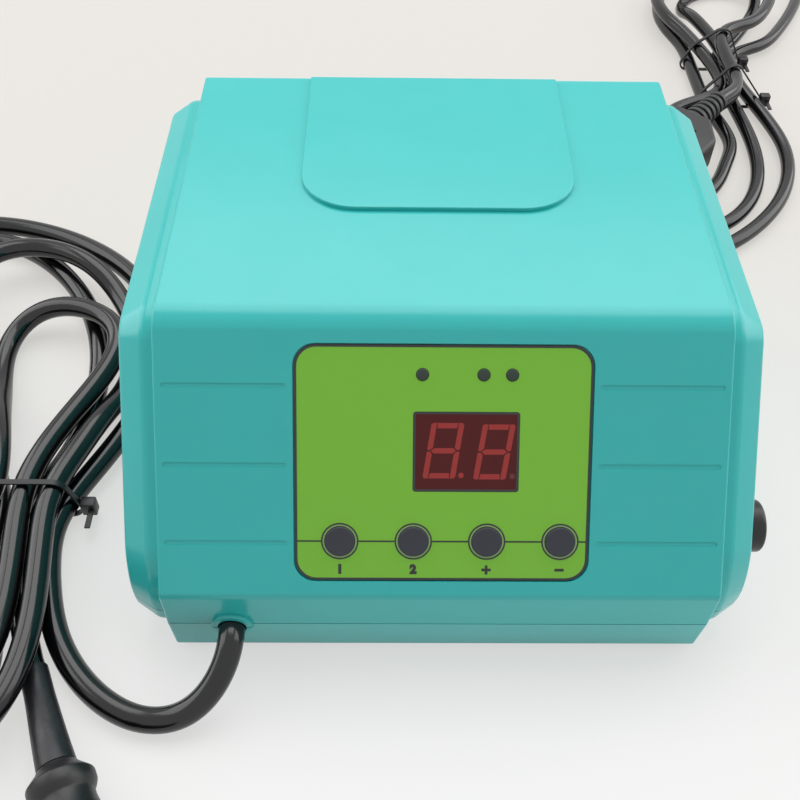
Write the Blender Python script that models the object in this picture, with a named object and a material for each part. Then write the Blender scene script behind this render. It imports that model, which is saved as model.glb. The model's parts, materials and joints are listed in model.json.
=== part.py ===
"""Desktop control box of a portable dental X-ray set, as separate pieces.

The case stands on its feet at z = 0, its sloped control panel faces -Y and its power button +X.
Places are written in the case's own frame: x from the middle of the case, y from the front skirt,
z from the table. An empty then moves the whole case, so that the origin lies at the middle of the
footprint of everything but the cords.
"""

import math

import bmesh
import bpy
import numpy as np
from mathutils import Matrix, Vector

# Case, in metres
BAND_WIDTH = 0.144
CASE_DEPTH = 0.156
CASE_TOP = 0.0837
SKIRT_TOP = 0.0298
FACE_RUN = 0.0476
PARTING_HEIGHT = 0.016
BASE_BOTTOM = 0.0015
BASE_DRAFT = 0.0015
SHOULDER_LENGTH = 0.0035
SHOULDER_STEP = 0.0038
CAP_LENGTH = 0.0069
CAP_BEVEL = 0.0046
WALL = 0.003
FIT = 0.0003
OVERRUN = 0.002
MERGE_DISTANCE = 0.000001
SMALL_FILLET = 0.0004

# Fillets of the middle band, and of the end caps where they start
BAND_FACE_FOOT_FILLET = 0.003
BAND_FACE_HEAD_FILLET = 0.009
BAND_REAR_FILLET = 0.003
BAND_BOTTOM_FILLET = 0.0008
CAP_FACE_FOOT_FILLET = 0.0275
CAP_FACE_HEAD_FILLET = 0.012
CAP_REAR_FILLET = 0.0076
CAP_BOTTOM_FILLET = 0.0076

# Raised pad on the top, and grooves beside the panel
PAD_WIDTH = 0.077
PAD_FRONT = 0.088
PAD_CORNER = 0.0155
PAD_HEIGHT = 0.0012
GROOVE_WIDTH = 0.0008
GROOVE_DEPTH = 0.0005
GROOVE_START = 0.0395
GROOVE_LENGTH = 0.0302
GROOVE_FIRST = 0.0143
GROOVE_PITCH = 0.02

# Panel overlay, display and lamps, in the sloped face's own frame
OVERLAY_WIDTH = 0.0743
OVERLAY_HEIGHT = 0.0601
OVERLAY_FOOT = 0.0046
OVERLAY_CORNER = 0.0055
OVERLAY_THICKNESS = 0.0006
RECESS_DEPTH = 0.0012
WINDOW_WIDTH = 0.0266
WINDOW_HEIGHT = 0.0203
WINDOW_X = 0.0058
WINDOW_S = 0.03785
DISPLAY_WIDTH = 0.0251
DISPLAY_HEIGHT = 0.01905
DISPLAY_THICKNESS = 0.008
LAMP_RADIUS = 0.0015
LAMP_FLANGE_RADIUS = 0.0019
LAMP_FLANGE_HEIGHT = 0.001
LAMP_PROUD = 0.0005
LAMP_S = 0.0573
LAMP_XS = (-0.0053, 0.0099, 0.017)

# Panel keys and the tact switches that spring them
KEY_RADIUS = 0.0041
KEY_PROUD = 0.0007
KEY_EDGE = 0.0003
KEY_FIRST_X = -0.0258
KEY_PITCH = 0.0186
KEY_COUNT = 4
KEY_S = 0.0148
KEY_TRAVEL = 0.0004
KEY_FLANGE_RADIUS = 0.005
KEY_FLANGE_THICKNESS = 0.0008
KEY_STEM_RADIUS = 0.0014
SWITCH_SIZE = 0.006
SWITCH_HEIGHT = 0.0035
SWITCH_SOCKET_DEPTH = 0.0026

# Boards and their fixings
BOARD_THICKNESS = 0.0016
FRONT_BOARD_WIDTH = 0.082
FRONT_BOARD_HEIGHT = 0.057
FRONT_BOARD_FOOT = 0.006
FRONT_BOARD_DEPTH = 0.0098
FRONT_BOSS_RADIUS = 0.003
FRONT_BOSS_MARGIN = 0.004
MAIN_BOARD_FRONT = 0.015
MAIN_BOARD_REAR = 0.0332
MAIN_BOARD_MARGIN = 0.003
STANDOFF_HEIGHT = 0.006
STANDOFF_RADIUS = 0.003
STANDOFF_MARGIN = 0.004
SCREW_RADIUS = 0.0012
SCREW_LENGTH = 0.006
SCREW_HEAD_RADIUS = 0.0023
SCREW_HEAD_HEIGHT = 0.0016

# Case screws, their posts, and the rubber feet
POST_RADIUS = 0.0038
POST_X = 0.065
POST_MARGIN = 0.008
CASE_SCREW_RADIUS = 0.0015
CASE_SCREW_HEAD_RADIUS = 0.0028
CASE_SCREW_HEAD_HEIGHT = 0.0019
CASE_SCREW_LENGTH = 0.0225
COUNTERBORE_DEPTH = 0.0024
FOOT_RADIUS = 0.006
FOOT_RECESS = 0.0012
FOOT_X = 0.05
FOOT_MARGIN = 0.015

# Power button and its switch
BUTTON_RADIUS = 0.0072
BUTTON_PROUD = 0.0056
BUTTON_EDGE = 0.001
BUTTON_Y = 0.0242
BUTTON_Z = 0.0271
BUTTON_TRAVEL = 0.0025
BUTTON_FLANGE_RADIUS = 0.0085
BUTTON_FLANGE_THICKNESS = 0.0015
BUTTON_STEM_RADIUS = 0.003
POWER_SWITCH_LENGTH = 0.016
POWER_SWITCH_WIDTH = 0.014
POWER_SWITCH_RISE = 0.007
STEM_INSERTION = 0.008

# Transformer
CORE_LENGTH = 0.044
CORE_HEIGHT = 0.038
CORE_STACK = 0.022
CORE_LIMB = 0.007
WINDOW_LENGTH = 0.008
CORE_EAR_LENGTH = 0.007
CORE_EAR_THICKNESS = 0.0016
COIL_BULGE = 0.009
COIL_FILLET = 0.003
TRANSFORMER_GAP = 0.002
TRANSFORMER_DEPTH_SHARE = 0.5744

# Pieces on the main board
HEATSINK_WIDTH = 0.038
HEATSINK_HEIGHT = 0.03
HEATSINK_DEPTH = 0.012
HEATSINK_PLATE = 0.003
HEATSINK_FINS = 7
HEATSINK_FIN = 0.0015
TRANSISTOR_WIDTH = 0.01
TRANSISTOR_HEIGHT = 0.009
TRANSISTOR_DEPTH = 0.0045
TRANSISTOR_TAB = 0.0013
TRANSISTOR_TAB_RISE = 0.0065
TRANSISTOR_LEG = 0.0008
TRANSISTOR_LEG_LENGTH = 0.008
TRANSISTOR_LEG_PITCH = 0.00254
CAPACITOR_RADIUS = 0.009
CAPACITOR_HEIGHT = 0.03
CAPACITOR_EDGE = 0.0008
RELAY_SIZE = (0.02, 0.016, 0.015)
BLOCK_EDGE = 0.0005
BUZZER_RADIUS = 0.006
BUZZER_HEIGHT = 0.0095
BUZZER_PORT_RADIUS = 0.001
BUZZER_PORT_DEPTH = 0.003
CHIP_SIZE = (0.009, 0.022, 0.0035)
FUSE_RADIUS = 0.0025
FUSE_CAP_RADIUS = 0.0028
FUSE_CAP_LENGTH = 0.005
FUSE_LENGTH = 0.02
FUSE_RISE = 0.0045
CLIP_WALL = 0.0006
CLIP_WIDTH = 0.004
TERMINAL_SIZE = (0.02, 0.009, 0.01)
TERMINAL_WAYS = 3
TERMINAL_HOLE_RADIUS = 0.0017
TERMINAL_HOLE_DEPTH = 0.005
SOCKET_SIZE = (0.014, 0.005, 0.0045)
CABLE_WIDTH = 0.011
CABLE_THICKNESS = 0.001

# Places on the main board, as shares of its width and length from its middle
HEATSINK_SHARES = (-0.2, 0.36)
CAPACITOR_SHARES = (0.28, 0.19)
RELAY_SHARES = (0.29, -0.07)
BUZZER_SHARES = (-0.1, -0.12)
CHIP_SHARES = (-0.3, 0.0)
FUSE_SHARES = (0.08, -0.07)
TERMINAL_SHARES = (0.25, 0.42)
SOCKET_SHARES = (-0.2, -0.3)

# Control cord at the front: collar, clamp and terminal
CORD_DIAMETER = 0.007
CORD_X = -0.0546
COLLAR_RADIUS = 0.0055
COLLAR_PROUD = 0.0012
CLAMP_START = 0.0125
CLAMP_LENGTH = 0.008
CLAMP_HALF_WIDTH = 0.0105
CLAMP_HEIGHT = 0.0062
CLAMP_SCREW_X = 0.0073
TERMINAL_BLOCK = (0.012, 0.009, 0.016)

# Its far end
SLEEVE_LENGTH = 0.0304
SLEEVE_RADIUS = 0.0039
CONNECTOR_LENGTH = 0.036
CONNECTOR_RADIUS = 0.0084
CONNECTOR_NECK_RADIUS = 0.005
CONNECTOR_WAIST_RADIUS = 0.0072
CONNECTOR_PIN_RADIUS = 0.0028
CONNECTOR_PIN_LENGTH = 0.009
CONNECTOR_EDGE = 0.0008
CONNECTOR_REAR_SHARES = (0.1, 0.19)
CONNECTOR_WAIST_SHARES = (0.24, 0.28)
CONNECTOR_FRONT_SHARE = 0.41

# Mains lead behind the case
LEAD_DIAMETER = 0.0058
LEAD_X = 0.03
RELIEF_NECK_RADIUS = 0.0045
RELIEF_FLANGE_RADIUS = 0.0062
RELIEF_FLANGE = 0.002
RELIEF_START_RADIUS = 0.0052
RELIEF_END_RADIUS = 0.0038
RELIEF_LENGTH = 0.0252
PLUG_RELIEF_LENGTH = 0.024
PLUG_RELIEF_RADIUS = 0.0062
PLUG_RELIEF_END_RADIUS = 0.0042
PLUG_LENGTH = 0.034
PLUG_WIDTH = 0.034
PLUG_THICKNESS = 0.0137
PLUG_NECK_WIDTH = 0.016
PLUG_EDGE = 0.003
PLUG_SHOULDER_SHARE = 0.35
PIN_RADIUS = 0.002
PIN_LENGTH = 0.019
PIN_SPACING = 0.0186
PIN_TIP = 0.0008

# Ties round the two hanks
TIE_WIDTH = 0.0017
TIE_THICKNESS = 0.0006
TIE_FIT = 0.0005
TIE_HEAD = (0.0045, 0.0035, 0.0055)
TIE_TAIL_LENGTH = 0.008
TIE_INSET = 0.004

# Counts
ROUND_SIDES = 20
SMALL_SIDES = 12
ARC_STEPS = 4
LOOP_POINTS = 24
RELIEF_STEPS = 6
CURVE_STEP = 0.003

# Angles
FACE_ANGLE = math.atan2(CASE_TOP - SKIRT_TOP, FACE_RUN)
QUARTER = math.pi / 2

# Places that follow from the sizes above
BAND_HALF = BAND_WIDTH / 2
SHOULDER_END = BAND_HALF + SHOULDER_LENGTH
CASE_END = SHOULDER_END + CAP_LENGTH
CAP_INSET = SHOULDER_STEP + CAP_BEVEL
FLOOR_TOP = BASE_BOTTOM + WALL
ROOF = CASE_TOP - WALL
OVERLAY_S = OVERLAY_FOOT + OVERLAY_HEIGHT / 2
OVERLAY_LOW = -RECESS_DEPTH + FIT
OVERLAY_TOP = OVERLAY_LOW + OVERLAY_THICKNESS
FRONT_BOARD_S = FRONT_BOARD_FOOT + FRONT_BOARD_HEIGHT / 2
COIL_WIDTH = CORE_STACK + 2 * COIL_BULGE
TRANSFORMER_X = WALL + MAIN_BOARD_MARGIN + COIL_WIDTH / 2 - BAND_HALF
TRANSFORMER_Y = CASE_DEPTH * TRANSFORMER_DEPTH_SHARE
MAIN_BOARD_WIDTH = 2 * (BAND_HALF - WALL - MAIN_BOARD_MARGIN) - COIL_WIDTH - TRANSFORMER_GAP
MAIN_BOARD_LENGTH = CASE_DEPTH - MAIN_BOARD_FRONT - MAIN_BOARD_REAR
MAIN_BOARD_X = BAND_HALF - WALL - MAIN_BOARD_MARGIN - MAIN_BOARD_WIDTH / 2
MAIN_BOARD_Y = MAIN_BOARD_FRONT + MAIN_BOARD_LENGTH / 2
MAIN_BOARD_LOW = FLOOR_TOP + STANDOFF_HEIGHT + FIT
MAIN_BOARD_TOP = MAIN_BOARD_LOW + BOARD_THICKNESS
BOARD_SEAT = MAIN_BOARD_TOP + FIT
POST_YS = (POST_MARGIN, CASE_DEPTH - POST_MARGIN)
CORD_RADIUS = CORD_DIAMETER / 2
LEAD_RADIUS = LEAD_DIAMETER / 2
CORD_HOLE_RADIUS = CORD_RADIUS + FIT
CLAMP_SCREW_LENGTH = CLAMP_HEIGHT + SCREW_LENGTH

# Outlines extruded along X or Y are drawn in (y, z) or (z, x)
ALONG_X = Matrix(((0, 0, 1, 0), (1, 0, 0, 0), (0, 1, 0, 0), (0, 0, 0, 1)))
ALONG_Y = Matrix(((0, 1, 0, 0), (0, 0, 1, 0), (1, 0, 0, 0), (0, 0, 0, 1)))


def linear(hex_colour):
    """Turn an sRGB hex colour into a linear one."""
    channels = [int(hex_colour[k:k + 2], 16) / 255 for k in (1, 3, 5)]
    return [c / 12.92 if c <= 0.04045 else ((c + 0.055) / 1.055) ** 2.4 for c in channels] + [1]


def material(name, hex_colour, roughness, metallic=0):
    """Make a Principled material."""
    look = bpy.data.materials.new(name)
    look.use_nodes = True
    shader = look.node_tree.nodes["Principled BSDF"]
    shader.inputs["Base Color"].default_value = linear(hex_colour)
    shader.inputs["Roughness"].default_value = roughness
    shader.inputs["Metallic"].default_value = metallic
    look.diffuse_color = linear(hex_colour)
    return look


def empty(name, location, rotation=(0, 0, 0), parent=None):
    """Make an empty that carries a group of pieces."""
    frame = bpy.data.objects.new(name, None)
    frame.location = location
    frame.rotation_euler = rotation
    frame.parent = parent
    bpy.context.scene.collection.objects.link(frame)
    return frame


def piece(name, data, look, parent, location=(0, 0, 0), rotation=(0, 0, 0)):
    """Put a mesh or curve in the scene as one named piece."""
    made = bpy.data.objects.new(name, data)
    made.location = location
    made.rotation_euler = rotation
    made.parent = parent
    if look:
        made.data.materials.append(look)
    bpy.context.scene.collection.objects.link(made)
    return made


def solid(name, bm, look, parent, location=(0, 0, 0), rotation=(0, 0, 0)):
    """Turn a closed bmesh into a piece whose faces point outwards."""
    bmesh.ops.recalc_face_normals(bm, faces=bm.faces)
    mesh = bpy.data.meshes.new(name)
    bm.to_mesh(mesh)
    bm.free()
    mesh.shade_smooth()
    mesh.set_sharp_from_angle(angle=math.radians(30))
    return piece(name, mesh, look, parent, location, rotation)


def tool(name, bm, parent, location=(0, 0, 0), rotation=(0, 0, 0)):
    """Make a hidden shape that cuts or adds to a piece."""
    made = solid(name, bm, None, parent, location, rotation)
    made.hide_render = True
    made.display_type = "WIRE"
    return made


def combine(target, operand, operation):
    """Cut a shape out of a piece, or weld it on."""
    step = target.modifiers.new(operand.name, "BOOLEAN")
    step.operation = operation
    step.object = operand
    step.solver = "EXACT"


def cut(target, operand):
    combine(target, operand, "DIFFERENCE")


def weld(target, operand):
    combine(target, operand, "UNION")


def add_box(bm, low, high):
    """Add a box between two corners."""
    low, high = Vector(low), Vector(high)
    size = Matrix.Diagonal((high - low).to_4d())
    bmesh.ops.create_cube(bm, size=1, matrix=Matrix.Translation((low + high) / 2) @ size)


def add_block(bm, centre, size, low):
    """Add a box on a plane, round its middle in x and y."""
    half_x, half_y = size[0] / 2, size[1] / 2
    start = (centre[0] - half_x, centre[1] - half_y, low)
    add_box(bm, start, (centre[0] + half_x, centre[1] + half_y, low + size[2]))


def add_round(bm, start, end, radius, sides=ROUND_SIDES):
    """Add a cylinder between two points."""
    start, end = Vector(start), Vector(end)
    axis = end - start
    turn = axis.to_track_quat("Z", "Y").to_matrix().to_4x4()
    place = Matrix.Translation((start + end) / 2) @ turn
    bmesh.ops.create_cone(
        bm, cap_ends=True, segments=sides, radius1=radius, radius2=radius, depth=axis.length, matrix=place
    )


def add_turned(bm, profile, sides=ROUND_SIDES, matrix=None, ring=False):
    """Spin a profile of (radius, height) points round Z. A ring's profile closes on itself."""
    fresh = bmesh.new()
    verts = [fresh.verts.new((radius, 0, height)) for radius, height in profile]
    pairs = list(zip(verts, verts[1:]))
    if ring:
        pairs.append((verts[-1], verts[0]))
    edges = [fresh.edges.new(pair) for pair in pairs]
    bmesh.ops.spin(
        fresh, geom=verts + edges, axis=(0, 0, 1), cent=(0, 0, 0), angle=math.tau, steps=sides, use_merge=True
    )
    bmesh.ops.remove_doubles(fresh, verts=fresh.verts, dist=MERGE_DISTANCE)
    bmesh.ops.transform(fresh, matrix=matrix or Matrix.Identity(4), verts=fresh.verts)
    mesh = bpy.data.meshes.new("turned")
    fresh.to_mesh(mesh)
    fresh.free()
    bm.from_mesh(mesh)
    bpy.data.meshes.remove(mesh)


def aim(start, direction):
    """Give the matrix that stands a turned shape at a point, along a direction."""
    turn = Vector(direction).to_track_quat("Z", "Y").to_matrix().to_4x4()
    return Matrix.Translation(start) @ turn


def inset_corners(corners, insets):
    """Move each edge of an outline inwards by its own inset. Edge k starts at corner k."""
    moved = []
    for k, here in enumerate(corners):
        back = (here - corners[k - 1]).normalized()
        ahead = (corners[(k + 1) % len(corners)] - here).normalized()
        normals = ((-back.y, back.x), (-ahead.y, ahead.x))
        moved.append(here + Vector(np.linalg.solve(normals, (insets[k - 1], insets[k]))))
    return moved


def round_corners(corners, radii):
    """Round the corners of an outline that runs anticlockwise. A radius of zero stays sharp."""
    points = []
    for k, corner in enumerate(corners):
        if not radii[k]:
            points.append(corner)
            continue
        back = (corners[k - 1] - corner).normalized()
        ahead = (corners[(k + 1) % len(corners)] - corner).normalized()
        half = back.angle(ahead) / 2
        centre = corner + (back + ahead).normalized() * (radii[k] / math.sin(half))
        first = corner + back * (radii[k] / math.tan(half)) - centre
        for step in range(ARC_STEPS + 1):
            turn = (math.pi - 2 * half) * step / ARC_STEPS
            points.append(centre + Matrix.Rotation(turn, 2) @ first)
    return points


def box_outline(centre, size, radius):
    """Give the outline of a rectangle with round corners."""
    half_x, half_y = size[0] / 2, size[1] / 2
    signs = ((-1, -1), (1, -1), (1, 1), (-1, 1))
    corners = [Vector((centre[0] + a * half_x, centre[1] + b * half_y)) for a, b in signs]
    return round_corners(corners, [radius] * len(corners))


def add_prism(bm, outline, low, high, matrix=None):
    """Extrude an outline from one level to another."""
    matrix = matrix or Matrix.Identity(4)
    verts = [bm.verts.new(matrix @ Vector((point[0], point[1], low))) for point in outline]
    face = bm.faces.new(verts)
    grown = bmesh.ops.extrude_face_region(bm, geom=[face])
    rise = matrix.to_3x3() @ Vector((0, 0, high - low))
    moved = [item for item in grown["geom"] if isinstance(item, bmesh.types.BMVert)]
    bmesh.ops.translate(bm, vec=rise, verts=moved)


def loft(rings):
    """Close a body over rings that all have the same number of points."""
    bm = bmesh.new()
    rows = [[bm.verts.new(point) for point in ring] for ring in rings]
    for row, following in zip(rows, rows[1:]):
        for k in range(len(row)):
            bm.faces.new((row[k - 1], row[k], following[k], following[k - 1]))
    bm.faces.new(rows[0])
    bm.faces.new(rows[-1])
    return bm


def add_screw(bm, seat, direction, length=SCREW_LENGTH, radius=SCREW_RADIUS,
              head_radius=SCREW_HEAD_RADIUS, head_height=SCREW_HEAD_HEIGHT):
    """Add a screw whose head lies just off its seat and whose shank points along the direction."""
    profile = (
        (0, -FIT - head_height),
        (head_radius - SMALL_FILLET, -FIT - head_height),
        (head_radius, -FIT - head_height + SMALL_FILLET),
        (head_radius, -FIT),
        (radius, -FIT),
        (radius, length),
        (0, length),
    )
    add_turned(bm, profile, SMALL_SIDES, aim(seat, direction))


def fillet(radius, wall):
    """Give the inner fillet of a wall from its outer one."""
    return max(radius - wall, SMALL_FILLET)


def cover_outline(inset, radii, wall):
    """Give the cover's section in (y, z): foot, rear, top, sloped face, skirt."""
    parting = PARTING_HEIGHT + FIT / 2
    corners = (
        Vector((0, parting)),
        Vector((CASE_DEPTH, parting)),
        Vector((CASE_DEPTH, CASE_TOP)),
        Vector((FACE_RUN, CASE_TOP)),
        Vector((0, SKIRT_TOP)),
    )
    side = inset + wall
    foot = -OVERRUN if wall else 0
    moved = inset_corners(corners, (foot, side, side, side, side))
    rear, head, bend = (fillet(radius, wall) for radius in radii[:3])
    return round_corners(moved, (0, 0, rear, head, bend))


def base_outline(inset, radii, wall):
    """Give the base's section in (y, z): bottom, rear, parting, front."""
    parting = PARTING_HEIGHT - FIT / 2
    corners = (
        Vector((BASE_DRAFT, BASE_BOTTOM)),
        Vector((CASE_DEPTH - BASE_DRAFT, BASE_BOTTOM)),
        Vector((CASE_DEPTH, parting)),
        Vector((0, parting)),
    )
    side = inset + wall
    opening = -OVERRUN if wall else 0
    moved = inset_corners(corners, (side, side, opening, side))
    bottom = fillet(radii[3], wall)
    return round_corners(moved, (bottom, bottom, 0, 0))


def case_lofts(outline, wall=0):
    """Loft the bevelled end caps, which run on through the case, and the raised band between them."""
    band = (BAND_REAR_FILLET, BAND_FACE_HEAD_FILLET, BAND_FACE_FOOT_FILLET, BAND_BOTTOM_FILLET)
    shoulder = (CAP_REAR_FILLET, CAP_FACE_HEAD_FILLET, CAP_FACE_FOOT_FILLET, CAP_BOTTOM_FILLET)
    end = tuple(radius - CAP_BEVEL for radius in shoulder)
    bodies = (
        ((CASE_END - wall, CAP_INSET, end), (SHOULDER_END - wall, SHOULDER_STEP, shoulder)),
        ((BAND_HALF - wall, 0, band),),
    )
    lofts = []
    for half in bodies:
        stations = [(-x, inset, radii) for x, inset, radii in half]
        stations += [(x, inset, radii) for x, inset, radii in reversed(half)]
        lofts.append(loft([[(x, y, z) for y, z in outline(inset, radii, wall)] for x, inset, radii in stations]))
    return lofts


def post_places():
    """Give the four case screws' places."""
    return [(side * POST_X, y) for side in (-1, 1) for y in POST_YS]


def front_boss_places():
    """Give the front board's two screw places on the sloped face, one at each side."""
    half = FRONT_BOARD_WIDTH / 2 - FRONT_BOSS_MARGIN
    return [(side * half, FRONT_BOARD_S) for side in (-1, 1)]


def standoff_places():
    """Give the main board's standoffs: two with screws, two with pegs, clear of the power switch."""
    left = MAIN_BOARD_X - MAIN_BOARD_WIDTH / 2 + STANDOFF_MARGIN
    right = MAIN_BOARD_X + MAIN_BOARD_WIDTH / 2 - STANDOFF_MARGIN
    front = MAIN_BOARD_FRONT + STANDOFF_MARGIN
    rear = MAIN_BOARD_FRONT + MAIN_BOARD_LENGTH - STANDOFF_MARGIN
    screwed = [(left, front), (right, rear)]
    pegged = [(right - POWER_SWITCH_LENGTH - STANDOFF_MARGIN, front), (left, rear)]
    return screwed, pegged


def key_places():
    """Give the keys' places across the face."""
    return [KEY_FIRST_X + KEY_PITCH * k for k in range(KEY_COUNT)]


def half_collar(bm, side):
    """Add half of the cord's moulded collar, above (1) or below (-1) the parting."""
    start = math.asin(FIT / 2 / COLLAR_RADIUS)
    turns = np.linspace(start, math.pi - start, 2 * ARC_STEPS + 1)
    outline = [
        (PARTING_HEIGHT + side * COLLAR_RADIUS * math.sin(t), CORD_X + side * COLLAR_RADIUS * math.cos(t))
        for t in turns
    ]
    add_prism(bm, outline, -COLLAR_PROUD, WALL / 2, ALONG_Y)


def cord_holes(case):
    """Make the two round holes at the parting: the control cord's, as far as its clamp, and the mains relief's."""
    bm = bmesh.new()
    front = (CORD_X, -COLLAR_PROUD - OVERRUN, PARTING_HEIGHT)
    add_round(bm, front, (CORD_X, CLAMP_START + CLAMP_LENGTH + OVERRUN, PARTING_HEIGHT), CORD_HOLE_RADIUS)
    rear = (LEAD_X, CASE_DEPTH + OVERRUN, PARTING_HEIGHT)
    add_round(bm, (LEAD_X, CASE_DEPTH - WALL - OVERRUN, PARTING_HEIGHT), rear, RELIEF_NECK_RADIUS + FIT)
    return tool("cord_holes_cut", bm, case)


def cover_cavity(case, face):
    """Make the hollow of the cover, with the screw posts and the board's bosses left standing."""
    caps, band = case_lofts(cover_outline, WALL)
    cavity = tool("cover_cavity_cut", caps, case)
    weld(cavity, tool("cover_band_cavity", band, case))
    posts = bmesh.new()
    for x, y in post_places():
        add_round(posts, (x, y, PARTING_HEIGHT + FIT / 2), (x, y, CASE_TOP + OVERRUN), POST_RADIUS, SMALL_SIDES)
    cut(cavity, tool("cover_posts", posts, case))
    bosses = bmesh.new()
    for x, s in front_boss_places():
        add_round(bosses, (x, s, -FRONT_BOARD_DEPTH + FIT), (x, s, 0), FRONT_BOSS_RADIUS, SMALL_SIDES)
    cut(cavity, tool("front_bosses", bosses, face))
    return cavity


def panel_cuts(face):
    """Make the overlay's recess, and below it the openings for display, lamps, keys and board screws."""
    recess = bmesh.new()
    size = (OVERLAY_WIDTH + 2 * FIT, OVERLAY_HEIGHT + 2 * FIT)
    add_prism(recess, box_outline((0, OVERLAY_S), size, OVERLAY_CORNER), -RECESS_DEPTH, OVERRUN)
    for side in (-1, 1):
        for k in range(3):
            middle = (side * (GROOVE_START + GROOVE_LENGTH / 2), GROOVE_FIRST + GROOVE_PITCH * k)
            add_block(recess, middle, (GROOVE_LENGTH, GROOVE_WIDTH, GROOVE_DEPTH + OVERRUN), -GROOVE_DEPTH)
    holes = bmesh.new()
    low = -WALL - OVERRUN
    display = (DISPLAY_WIDTH + FIT, DISPLAY_HEIGHT + FIT, -low)
    add_block(holes, (WINDOW_X, WINDOW_S), display, low)
    for x in LAMP_XS:
        add_round(holes, (x, LAMP_S, low), (x, LAMP_S, 0), LAMP_RADIUS + FIT, SMALL_SIDES)
    for x in key_places():
        add_round(holes, (x, KEY_S, low), (x, KEY_S, 0), KEY_RADIUS + FIT)
    for x, s in front_boss_places():
        bore_end = -FRONT_BOARD_DEPTH + SCREW_LENGTH + FIT
        add_round(holes, (x, s, -FRONT_BOARD_DEPTH - OVERRUN), (x, s, bore_end), SCREW_RADIUS + FIT, SMALL_SIDES)
    return tool("panel_recess_cut", recess, face), tool("panel_holes_cut", holes, face)


def screw_bores(case):
    """Make the case screws' bores and counterbores through base and cover."""
    bm = bmesh.new()
    seat = BASE_BOTTOM + COUNTERBORE_DEPTH
    for x, y in post_places():
        profile = (
            (0, BASE_BOTTOM - OVERRUN),
            (CASE_SCREW_HEAD_RADIUS + FIT, BASE_BOTTOM - OVERRUN),
            (CASE_SCREW_HEAD_RADIUS + FIT, seat),
            (CASE_SCREW_RADIUS + FIT, seat),
            (CASE_SCREW_RADIUS + FIT, seat + CASE_SCREW_LENGTH + 2 * FIT),
            (0, seat + CASE_SCREW_LENGTH + 2 * FIT),
        )
        add_turned(bm, profile, SMALL_SIDES, Matrix.Translation((x, y, 0)))
    return tool("screw_bores_cut", bm, case)


def upper_cover(case, face, look, bores, holes):
    """Model the cover: band, end caps, pad, grooves, panel openings, button hole and collar half."""
    caps, band = case_lofts(cover_outline)
    cover = solid("upper_cover", caps, look, case)
    weld(cover, tool("cover_band", band, case))
    pad = bmesh.new()
    pad_rear = CASE_DEPTH - BAND_REAR_FILLET
    rear_fillet = SMALL_FILLET
    corners = [Vector((x, y)) for x, y in (
        (-PAD_WIDTH / 2, PAD_FRONT), (PAD_WIDTH / 2, PAD_FRONT), (PAD_WIDTH / 2, pad_rear), (-PAD_WIDTH / 2, pad_rear)
    )]
    outline = round_corners(corners, (PAD_CORNER, PAD_CORNER, rear_fillet, rear_fillet))
    add_prism(pad, outline, CASE_TOP - WALL / 2, CASE_TOP + PAD_HEIGHT)
    half_collar(pad, 1)
    weld(cover, tool("cover_additions", pad, case))
    cut(cover, cover_cavity(case, face))
    for cutter in panel_cuts(face):
        cut(cover, cutter)
    button = bmesh.new()
    inside = (CASE_END - WALL - OVERRUN, BUTTON_Y, BUTTON_Z)
    add_round(button, inside, (CASE_END + OVERRUN, BUTTON_Y, BUTTON_Z), BUTTON_RADIUS + FIT)
    cut(cover, tool("button_hole_cut", button, case))
    cut(cover, bores)
    cut(cover, holes)


def base_cavity(case):
    """Make the hollow of the base, with posts, standoffs, transformer bosses and clamp cradle left standing."""
    caps, band = case_lofts(base_outline, WALL)
    cavity = tool("base_cavity_cut", caps, case)
    weld(cavity, tool("base_band_cavity", band, case))
    bm = bmesh.new()
    low = BASE_BOTTOM
    for x, y in post_places():
        add_round(bm, (x, y, low), (x, y, PARTING_HEIGHT - FIT / 2), POST_RADIUS, SMALL_SIDES)
    screwed, pegged = standoff_places()
    for x, y in screwed:
        add_round(bm, (x, y, low), (x, y, MAIN_BOARD_LOW - FIT), STANDOFF_RADIUS, SMALL_SIDES)
    for x, y in pegged:
        shoulder = MAIN_BOARD_LOW - FIT
        profile = (
            (0, low), (STANDOFF_RADIUS, low), (STANDOFF_RADIUS, shoulder), (SCREW_RADIUS, shoulder),
            (SCREW_RADIUS, MAIN_BOARD_TOP), (0, MAIN_BOARD_TOP)
        )
        add_turned(bm, profile, SMALL_SIDES, Matrix.Translation((x, y, 0)))
    for x, y in ear_places():
        add_round(bm, (x, y, low), (x, y, FLOOR_TOP + STANDOFF_HEIGHT), STANDOFF_RADIUS, SMALL_SIDES)
    cut(cavity, tool("base_posts", bm, case))
    cradle = bmesh.new()
    start = (CORD_X - CLAMP_HALF_WIDTH, CLAMP_START, low)
    end = (CORD_X + CLAMP_HALF_WIDTH, CLAMP_START + CLAMP_LENGTH, PARTING_HEIGHT - FIT)
    add_box(cradle, start, end)
    cut(cavity, tool("clamp_cradle", cradle, case))
    return cavity


def ear_places():
    """Give the transformer's two screw places."""
    reach = CORE_LENGTH / 2 + CORE_EAR_LENGTH / 2
    return [(TRANSFORMER_X, TRANSFORMER_Y + side * reach) for side in (-1, 1)]


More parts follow.
